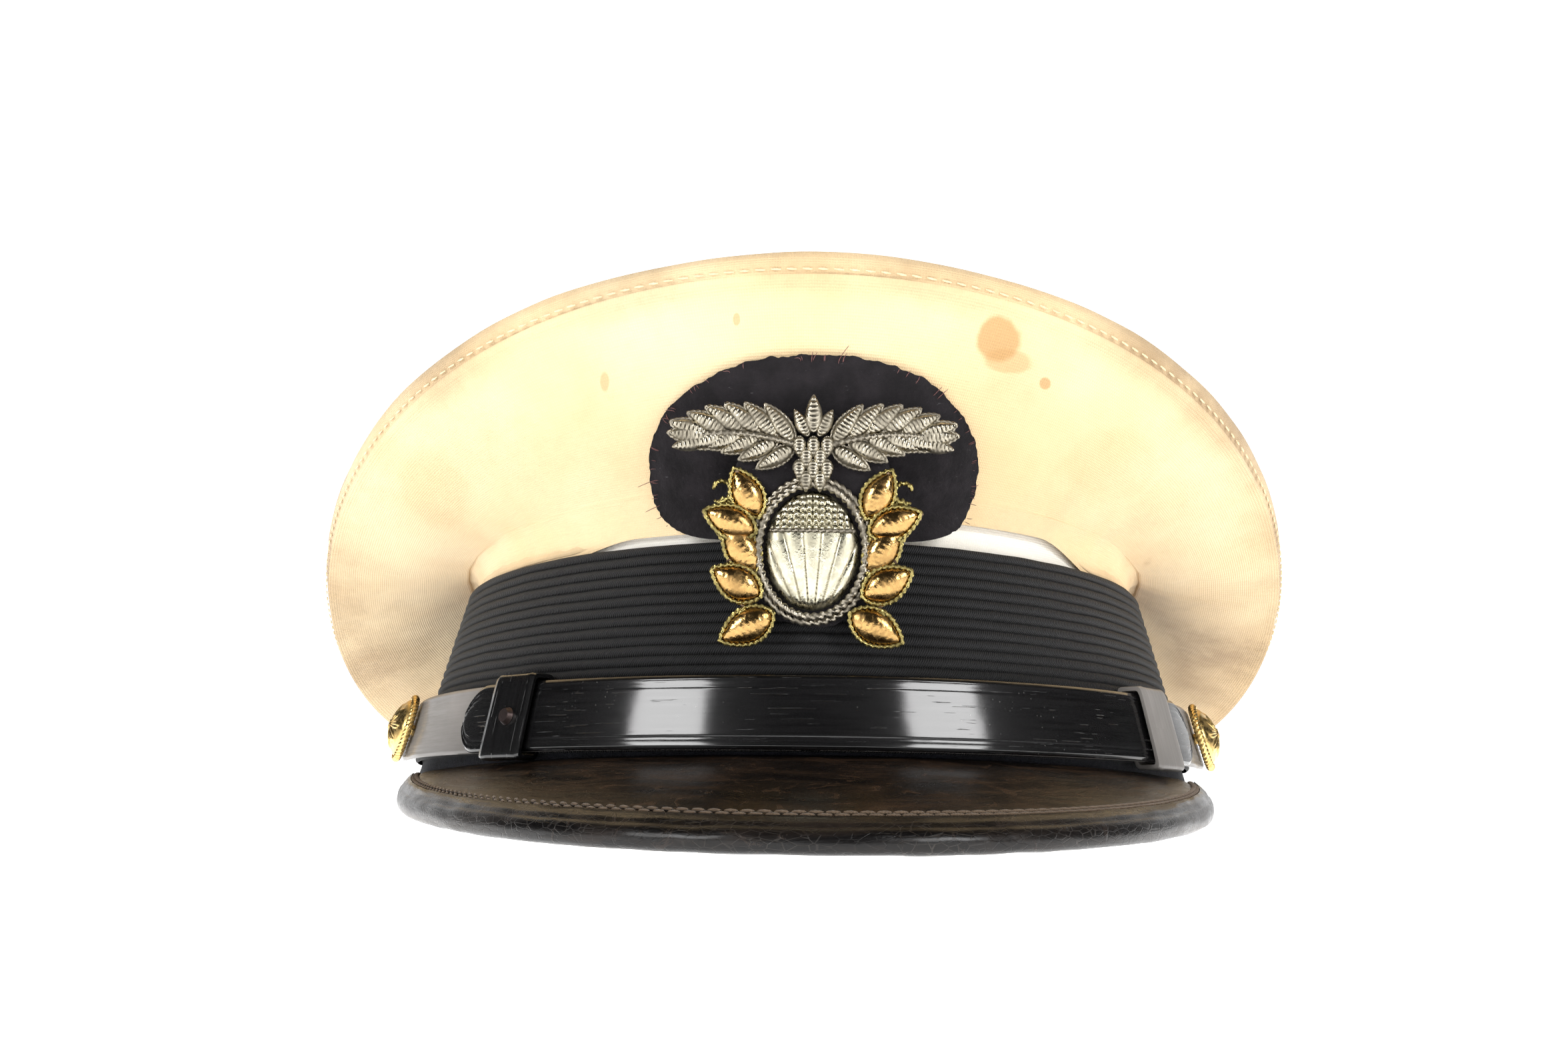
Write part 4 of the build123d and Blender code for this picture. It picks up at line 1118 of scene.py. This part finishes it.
class CAP_OT_strap(bpy.types.Operator):
    """Builds the patent-leather chin strap and its two keepers"""
    bl_idname = "cap.strap"
    bl_label = "Chin Strap"

    def execute(self, context):
        strap_piece("strap_front_leather", "frame", "strap_front", TIP_RIGHT, TIP_LEFT, FRONT_STRAP_IN,
                    True, True, 260)
        reach = 6.35 / 84
        strap_piece("strap_left_leather", "frame", "strap_left", radians(1), BUTTON_ANGLE + reach, STRAP_IN,
                    False, True, 160)
        strap_piece("strap_right_leather", "frame", "strap_right", -BUTTON_ANGLE - reach, radians(-1), STRAP_IN,
                    True, False, 160)
        build_keeper("keeper_left_leather", "left_keeper", "keeper_left", KEEPER_LEFT)
        build_keeper("keeper_right_leather", "right_keeper", "keeper_right", KEEPER_RIGHT)
        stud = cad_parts["keeper_stud"]
        stud.data.materials.clear()
        stud.data.materials.append(material("stud"))
        return {"FINISHED"}


# ------------------------------------------------------------------------- the buttons
def build_button(side):
    """A gilt domed button with a rope rim and a small rosette."""
    t = side * BUTTON_ANGLE
    start = band_point(t, STRAP_MID, STRAP_MIDDLE_Z)
    axis = band_normal(t, STRAP_MIDDLE_Z)
    up = (Vector((0, 0, 1)) - axis * axis.z).normalized()
    across = up.cross(axis)
    start = start + axis * 0.1
    radius = BUTTON_RADIUS

    def place(u, v):
        around = 2 * pi * u
        if v < 0.12:
            r, h = (radius - 0.9) * v / 0.12, 0.5
        elif v < 0.5:
            share = (v - 0.12) / 0.38
            bend = pi * share
            strand = 0.12 * cos(around * 44 + 3.0 * bend)
            r = radius - 0.9 + (0.85 + strand) * sin(bend)
            h = 1.25 - (0.75 + strand) * cos(bend)
        else:
            share = (v - 0.5) / 0.5
            r = (radius - 0.9) * (1 - share)
            h = 2.0 + 2.35 * (1 - (r / (radius - 0.9)) ** 2) - 0.35 * (1 - smooth(0, 0.12, share))
            petal = abs(cos(around * 4)) ** 0.6
            inside = smooth(4.6 * petal + 0.4, 4.6 * petal - 0.3, r) if r > 0.9 else 1.0
            h += 0.28 * inside - 0.16 * inside * abs(sin(around * 16)) * smooth(0.9, 2.2, r)
            if r < 1.0:
                h += 0.2
        return start + across * (r * cos(around)) + up * (r * sin(around)) + axis * h

    bm = bmesh.new()
    add_grid(bm, 176, 64, place, (44, 12), weld=True)
    name = "left" if side > 0 else "right"
    return finish_piece(bm, f"button_{name}_shell", f"{name}_button", material("brass"),
                        [f"button_{name}"], sharp=80)


class CAP_OT_buttons(bpy.types.Operator):
    """Builds the two gilt buttons"""
    bl_idname = "cap.buttons"
    bl_label = "Buttons"

    def execute(self, context):
        build_button(1)
        build_button(-1)
        return {"FINISHED"}


# ------------------------------------------------------------------------- the badge
PATCH_HALF, PATCH_WIDEST, PATCH_TOP = 28.4, 54.0, 71.2


def patch_y(x, z):
    """How far forward the patch's back face is, in front of the cover."""
    hem_y = -(HEAD_HALF_LENGTH + 7.1 - END_LEAN * min(z, HEM_TOP))
    share = min(max((z - HEM_TOP) / (RIM_FRONT - HEM_TOP), 0), 1)
    rim_y = CROWN_MIDDLE_Y - CROWN_HALF_LENGTH + 2.0
    panel_y = hem_y + (rim_y - hem_y) * share - 1.0
    middle = min(panel_y, hem_y) - 1.0
    low_back = (HEAD_HALF_LENGTH + 7) * (1 - sqrt(1 - (x / (HEAD_HALF_WIDTH - SIDE_LEAN * z)) ** 2))
    high_back = CROWN_HALF_LENGTH * (1 - sqrt(1 - (x / CROWN_HALF_WIDTH) ** 2))
    return middle + (low_back * (1 - share) + high_back * share) * 0.6


def build_patch():
    def edge_noise(x, z):
        return 0.45 * grain((x, 0, z), 2.2, 4.0) + 0.3 * grain((x, 0, z), 0.8, 8.0) + 0.5 * grain((x, 0, z), 9, 2.0)

    def place(u, v):
        around = 2 * pi * u
        share = 1 - abs(1 - 2 * v)
        share = min(1.0, share * 1.04) ** 0.75
        c, s = cos(around), sin(around)
        if s >= 0:
            scale = (abs(c) ** 2.3 + abs(s) ** 2.3) ** (-1 / 2.3)
            x, z = PATCH_HALF * c * scale, PATCH_WIDEST + (PATCH_TOP - PATCH_WIDEST) * s * scale
        else:
            scale = (abs(c) ** 4.5 + abs(s) ** 4.5) ** (-1 / 4.5)
            x, z = PATCH_HALF * c * scale, PATCH_WIDEST + (PATCH_WIDEST - 41.5) * s * scale
            x *= 1 - 0.07 * smooth(PATCH_WIDEST, 43, z)
        rough = edge_noise(x, z)
        x += rough * c * 0.7
        z += rough * s * 0.7 if s > -0.7 else 0
        x, z = x * share, PATCH_WIDEST + (z - PATCH_WIDEST) * share
        y = patch_y(x, z)
        front = v > 0.5
        puff = 0.55 * (1 - smooth(0.9, 1.0, share) * 0.75)
        rumple = 0.15 * grain((x, 0, z), 6, 3.0)
        return Vector((x + 0.4, y - 0.6 + (-puff - rumple if front else puff), z))

    bm = bmesh.new()
    add_grid(bm, 420, 80, lambda u, v: place(1 - u, v), (170, 60), weld=True)
    patch = finish_piece(bm, "badge_patch_wool", "frame", material("patch"), ["badge_patch"])

    bm = bmesh.new()
    for i in range(54):
        around = -0.7 + 4.6 * ((i * 0.618 + 0.13 * grain((i * 2.0, 9, 0), 3, 2.0)) % 1.0)
        c, s = cos(around), sin(around)
        power = 2.3 if s >= 0 else 4.5
        scale = (abs(c) ** power + abs(s) ** power) ** (-1 / power)
        x = PATCH_HALF * c * scale * 0.97 + 0.4
        z = PATCH_WIDEST + (17.0 if s >= 0 else 12.5) * s * scale * 0.97
        lean = 2.6 * grain((i * 3.1, 0.4, 0), 2, 1.0)
        size = 0.7 + 3.4 * abs(grain((0.3, i * 5.3, 0), 3, 6.0)) ** 1.3
        points = []
        for k in range(6):
            q = k / 5
            points.append((x + (c + lean * q) * size * (q - 0.35), patch_y(min(abs(x), 27), z) - 1.0 - 0.7 * q,
                           z + (s + lean * 0.8 * q) * size * (q - 0.35)))
        add_cord(bm, Path(points), 0.06, 0.8, sides=5, per_pitch=3, twist=0.1)
    finish_piece(bm, "patch_loose_threads", "frame", material("loose_thread"))
    return patch


def spray_leaves():
    """(stem, turn, length, width, lift) of the silver leaves on the wearer's left side."""
    leaves = []
    for i in range(6):
        share = i / 5
        x = 3.2 + 14.2 * share
        stem_z = 56.4 + 2.0 * sin(pi * share * 0.8)
        leaves.append(((x, stem_z + 0.3), radians(52 - 34 * share), 7.8 - 1.2 * share, 2.9, 0.9 - 0.5 * share))
        leaves.append(((x, stem_z - 0.5), radians(-30 + 18 * share), 7.0 - 0.8 * share, 2.7, 0.6 - 0.4 * share))
    leaves.append(((17.2, 57.6), radians(4), 6.8, 2.8, 0.5))
    return leaves


def wreath_leaves():
    """(stem, turn, length, width, lift) of the gold leaves on the wearer's left side."""
    return [((6.6, 28.6), radians(-28), 9.2, 5.4, 0.9),
            ((8.6, 31.6), radians(28), 8.6, 5.2, 1.3),
            ((9.4, 35.6), radians(58), 9.0, 5.0, 0.8),
            ((9.6, 42.0), radians(22), 8.6, 4.8, 1.2),
            ((9.0, 44.6), radians(62), 8.4, 4.8, 0.9),
            ((12.6, 39.6), radians(74), 7.8, 4.0, 0.5)]


def mirrored(leaf, side):
    (x, z), turn, length, width, lift = leaf
    return ((side * x, z), turn if side > 0 else pi - turn, length, width, lift)


def build_badge():
    base = 1.2
    bm = bmesh.new()

    def pad_place(u, v):
        around = 2 * pi * u
        share = 1 - abs(1 - 2 * v)
        front = v > 0.5
        share = share ** 0.8
        r = 1 + 0.03 * grain((cos(around) * 9, sin(around) * 9, 0), 2, 1.0)
        return badge_point(14.6 * cos(around) * share * r, 44.4 + 18.0 * sin(around) * share * r,
                           (1.0 if front else 0.0) + 0.1)

    add_grid(bm, 96, 24, lambda u, v: pad_place(1 - u, v), (100, 40), weld=True)
    finish_piece(bm, "badge_pad_felt", "frame", material("patch"), ["badge_pad"])

    bm = bmesh.new()
    for side in (-1, 1):
        for leaf in spray_leaves():
            stem, turn, length, width, lift = mirrored(leaf, side)
            add_leaf(bm, stem, turn, length, width, 1.3, ridges=int(length * 1.5), slant=0.9, lift=base + lift, ridge=0.28)
    for x, z, turn, length, width, lift in ((0, 58.2, 90, 6.4, 3.0, 1.6), (-0.8, 57.6, 118, 5.2, 2.4, 1.2),
                                            (0.8, 57.6, 62, 5.2, 2.4, 1.2)):
        add_leaf(bm, (x, z), radians(turn), length, width, 1.2, ridges=8, slant=0.9, lift=base + lift, ridge=0.25)
    for row in range(4):
        for k in range(3 - row % 2):
            x = (k - (2 - row % 2) / 2) * 2.3
            add_leaf(bm, (x, 57.8 - row * 1.9), radians(-90), 3.6, 2.3, 1.1, ridges=6, slant=0.8,
                     lift=base + 1.5 - row * 0.15, ridge=0.22)
    finish_piece(bm, "badge_spray_leaves", "frame", material("silver"), ["badge_sprays"])

    bm = bmesh.new()
    for side in (-1, 1):
        for leaf in spray_leaves():
            stem, turn, length, width, lift = mirrored(leaf, side)
            if lift > 0.2:
                add_cord(bm, leaf_outline(stem, turn, length, width, base + lift + 0.25, grow=0.12), 0.24, 0.9, sides=6,
                         per_pitch=5)
        stem_line = [badge_point(side * (2.5 + 18.5 * i / 20), 56.2 + 1.9 * sin(pi * i / 20 * 0.8), base + 1.7 - i * 0.03)
                     for i in range(21)]
        add_cord(bm, Path(stem_line), 0.48, 1.1, sides=8)
    finish_piece(bm, "badge_spray_cords", "frame", material("silver_cord"))

    def boss_place(u, v):
        around = 2 * pi * u
        share = 1 - abs(1 - 2 * v)
        front = v > 0.5
        x, z = 7.9 * cos(around) * share, 9.9 * sin(around) * share
        if not front:
            return badge_point(x, BOSS_Z + z, base)
        rise = 2.0 * (1 - share ** 2.6) ** 0.6 if share < 1 else 0
        fan = atan2(x, z + 15.5)
        lower = 1 - smooth(3.0, 3.5, z)
        flute = abs(cos(fan * 19)) ** 0.5
        beads = abs(sin(x * 2.9)) * abs(sin(z * 2.9 + (0.5 if int(x) % 2 else 0)))
        ease = 1 - smooth(0.85, 1.0, share)
        rise += (0.42 * flute * lower + (0.55 * beads + 0.15) * (1 - lower)) * ease
        return badge_point(x, BOSS_Z + z, base + rise)

    bm = bmesh.new()
    add_grid(bm, 200, 120, lambda u, v: boss_place(1 - u, v), (60, 40), weld=True)
    finish_piece(bm, "badge_boss_plate", "frame", material("silver_plate"), ["badge_boss"])

    bm = bmesh.new()
    for grow, lift, radius in ((0.75, 0.9, 0.62), (1.75, 0.45, 0.5)):
        ring = Path([badge_point((8.1 + grow) * cos(2 * pi * i / 160), BOSS_Z + (10.1 + grow) * sin(2 * pi * i / 160),
                                 base + lift) for i in range(160)], closed=True)
        add_cord(bm, ring, radius, 1.35, sides=10, per_pitch=7, twist=0.26)
    bar = Path([badge_point(-7.2 + 14.4 * i / 20, BOSS_Z + 3.2, base + 2.35 - 0.9 * abs(i / 10 - 1) ** 2) for i in range(21)])
    add_cord(bm, bar, 0.35, 1.1, sides=8)
    finish_piece(bm, "badge_boss_rope", "frame", material("silver_cord"), ["badge_rope"])

    gold = bmesh.new()
    purl = bmesh.new()
    dark = bmesh.new()
    for side in (-1, 1):
        for leaf in wreath_leaves():
            stem, turn, length, width, lift = mirrored(leaf, side)
            add_leaf(gold, stem, turn, length, width, 1.9, ridges=9, slant=0.25, lift=base + lift - 0.5, ridge=0.10,
                     blunt=0.85)
            add_cord(purl, leaf_outline(stem, turn, length, width, base + lift + 0.1, 0.85, 0.3), 0.34, 1.0, sides=7,
                     per_pitch=5, twist=0.26)
        for x0, z0, size, first in ((15.2, 48.8, 2.6, 0.0), (16.4, 45.2, 2.0, 1.2), (11.2, 50.6, 2.2, 2.0),
                                    (13.2, 36.4, 2.1, 0.5), (10.6, 27.6, 2.3, 3.6)):
            curl = []
            for i in range(34):
                turn = first + 1.7 * pi * i / 33
                r = size * (0.55 + 0.45 * i / 33)
                curl.append(badge_point(side * (x0 + r * cos(turn) * 0.8), z0 + r * sin(turn) * 0.8,
                                        base + 0.5 + 0.5 * sin(turn * 2)))
            add_cord(dark if size < 2.3 else purl, Path(curl), 0.36, 1.05, sides=7, per_pitch=5, twist=0.26)
        braid_line = [badge_point(side * (11.0 + 0.9 * sin(i * 0.8)), 29.5 + 20.0 * i / 24, base + 0.7 + 0.4 * cos(i * 0.8))
                      for i in range(25)]
        add_cord(dark, Path(braid_line), 0.42, 1.2, sides=7, per_pitch=5, twist=0.26)
    finish_piece(gold, "badge_wreath_leaves", "frame", material("gold"), ["badge_wreath"])
    finish_piece(purl, "badge_wreath_purl", "frame", material("gold_cord"))
    finish_piece(dark, "badge_wreath_curls", "frame", material("dark_cord"))


class CAP_OT_badge(bpy.types.Operator):
    """Builds the wool patch and the embroidered badge on it"""
    bl_idname = "cap.badge"
    bl_label = "Badge"

    def execute(self, context):
        build_patch()
        build_badge()
        return {"FINISHED"}


# ------------------------------------------------------------------------- hidden CAD parts
class CAP_OT_hardware(bpy.types.Operator):
    """Gives the CAD parts that stay as they are their finishes"""
    bl_idname = "cap.hardware"
    bl_label = "Hardware Finishes"

    def execute(self, context):
        finishes = {
            "front_stay": ("board", "visor_board"), "visor_board": ("board", "visor_board"),
            "sweat_shield": ("film", "shield_film"), "grommet_wire": ("steel", "steel_wire"),
            "grommet_sleeve": ("brass", "gilt_brass"), "shank_left": ("brass", "gilt_brass"),
            "shank_right": ("brass", "gilt_brass"), "pin_left": ("brass", "gilt_brass"),
            "pin_right": ("brass", "gilt_brass"), "button_washers": ("brass", "gilt_brass"),
        }
        for node, (finish, slot) in finishes.items():
            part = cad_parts[node]
            part.data.materials.clear()
            part.data.materials.append(material(finish))
        return {"FINISHED"}


# ------------------------------------------------------------------------- the stage
class CAP_OT_stage(bpy.types.Operator):
    """Sets up the camera, the soft lights, the floor and the white surroundings"""
    bl_idname = "cap.stage"
    bl_label = "Stage"

    def execute(self, context):
        scene = context.scene
        camera = bpy.data.cameras.new("camera")
        camera.lens, camera.sensor_width = 33.66, 36.0
        camera.clip_start, camera.clip_end = 0.02, 50
        view = bpy.data.objects.new("camera", camera)
        scene.collection.objects.link(view)
        turn = (Matrix.Rotation(radians(-0.1), 3, "Z") @ Matrix.Rotation(radians(90 + 11.32), 3, "X")
                @ Matrix.Rotation(radians(0.66), 3, "Z"))
        view.rotation_euler = turn.to_euler()
        view.location = (-0.0051, -0.3496, -0.00425)
        scene.camera = view

        for side in (-1, 1):
            lamp = bpy.data.lights.new("soft_light", "AREA")
            lamp.shape, lamp.size, lamp.size_y = "RECTANGLE", 0.37, 0.33
            lamp.energy = cap().lamp_power
            light = bpy.data.objects.new("soft_light", lamp)
            scene.collection.objects.link(light)
            light.location = (side * 0.60, -0.74, 0.33)
            aim = Vector((0, -0.06, 0.03)) - Vector(light.location)
            light.rotation_euler = aim.to_track_quat("-Z", "Y").to_euler()

        world = bpy.data.worlds.new("surroundings")
        scene.world = world
        world.use_nodes = True
        nodes, links = world.node_tree.nodes, world.node_tree.links
        back = nodes["Background"]
        rays = nodes.new("ShaderNodeLightPath")
        way = nodes.new("ShaderNodeTexCoord")
        split = nodes.new("ShaderNodeSeparateXYZ")
        strength = nodes.new("ShaderNodeMapRange")
        for key, value in (("From Min", 0.42), ("From Max", 0.8), ("To Min", 0.03), ("To Max", 1.3)):
            strength.inputs[key].default_value = value
        either = nodes.new("ShaderNodeMath")
        either.operation = "MAXIMUM"
        links.new(way.outputs["Generated"], split.inputs[0])
        links.new(split.outputs["Y"], strength.inputs["Value"])
        links.new(strength.outputs["Result"], either.inputs[0])
        links.new(rays.outputs["Is Camera Ray"], either.inputs[1])
        links.new(either.outputs[0], back.inputs["Strength"])
        back.inputs["Color"].default_value = (1, 1, 1, 1)

        bm = bmesh.new()
        bmesh.ops.create_grid(bm, x_segments=8, y_segments=8, size=6.0,
                              matrix=Matrix.Translation((0, 4.0, -0.0125)))
        mesh = bpy.data.meshes.new("floor")
        bm.to_mesh(mesh)
        bm.free()
        floor = bpy.data.objects.new("floor", mesh)
        scene.collection.objects.link(floor)
        pale = Shader("pale_floor", roughness=0.9, Emission_Color=(1, 1, 1, 1), Emission_Strength=2.0)
        mesh.materials.append(pale.done(pale.mix(pale.noise(2), (0.80, 0.80, 0.80), (0.82, 0.82, 0.82))))

        scene.view_settings.view_transform = "Standard"
        scene.view_settings.look = "None"
        return {"FINISHED"}


OPERATORS = (CAP_OT_cover, CAP_OT_band, CAP_OT_inside, CAP_OT_visor, CAP_OT_strap, CAP_OT_buttons,
             CAP_OT_badge, CAP_OT_hardware, CAP_OT_stage)


class CAP_PT_panel(bpy.types.Panel):
    """Lists the steps that build the cap"""
    bl_idname = "CAP_PT_panel"
    bl_label = "Peaked Cap"
    bl_space_type = "VIEW_3D"
    bl_region_type = "UI"
    bl_category = "Peaked Cap"

    def draw(self, context):
        settings = context.scene.cap_settings
        for name in ("cover_colour", "cover_shade", "wrinkle", "rib_pitch", "stitch_pitch", "lamp_power"):
            self.layout.prop(settings, name)
        for operator in OPERATORS:
            self.layout.operator(operator.bl_idname)


def register():
    bpy.utils.register_class(CapSettings)
    for operator in OPERATORS:
        bpy.utils.register_class(operator)
    bpy.utils.register_class(CAP_PT_panel)
    bpy.types.Scene.cap_settings = bpy.props.PointerProperty(type=CapSettings)


def unregister():
    del bpy.types.Scene.cap_settings
    bpy.utils.unregister_class(CAP_PT_panel)
    for operator in reversed(OPERATORS):
        bpy.utils.unregister_class(operator)
    bpy.utils.unregister_class(CapSettings)


def main():
    register()
    bpy.ops.cap.cover()
    bpy.ops.cap.band()
    bpy.ops.cap.inside()
    bpy.ops.cap.visor()
    bpy.ops.cap.strap()
    bpy.ops.cap.buttons()
    bpy.ops.cap.badge()
    bpy.ops.cap.hardware()
    bpy.ops.cap.stage()


if __name__ == "__main__":
    main()
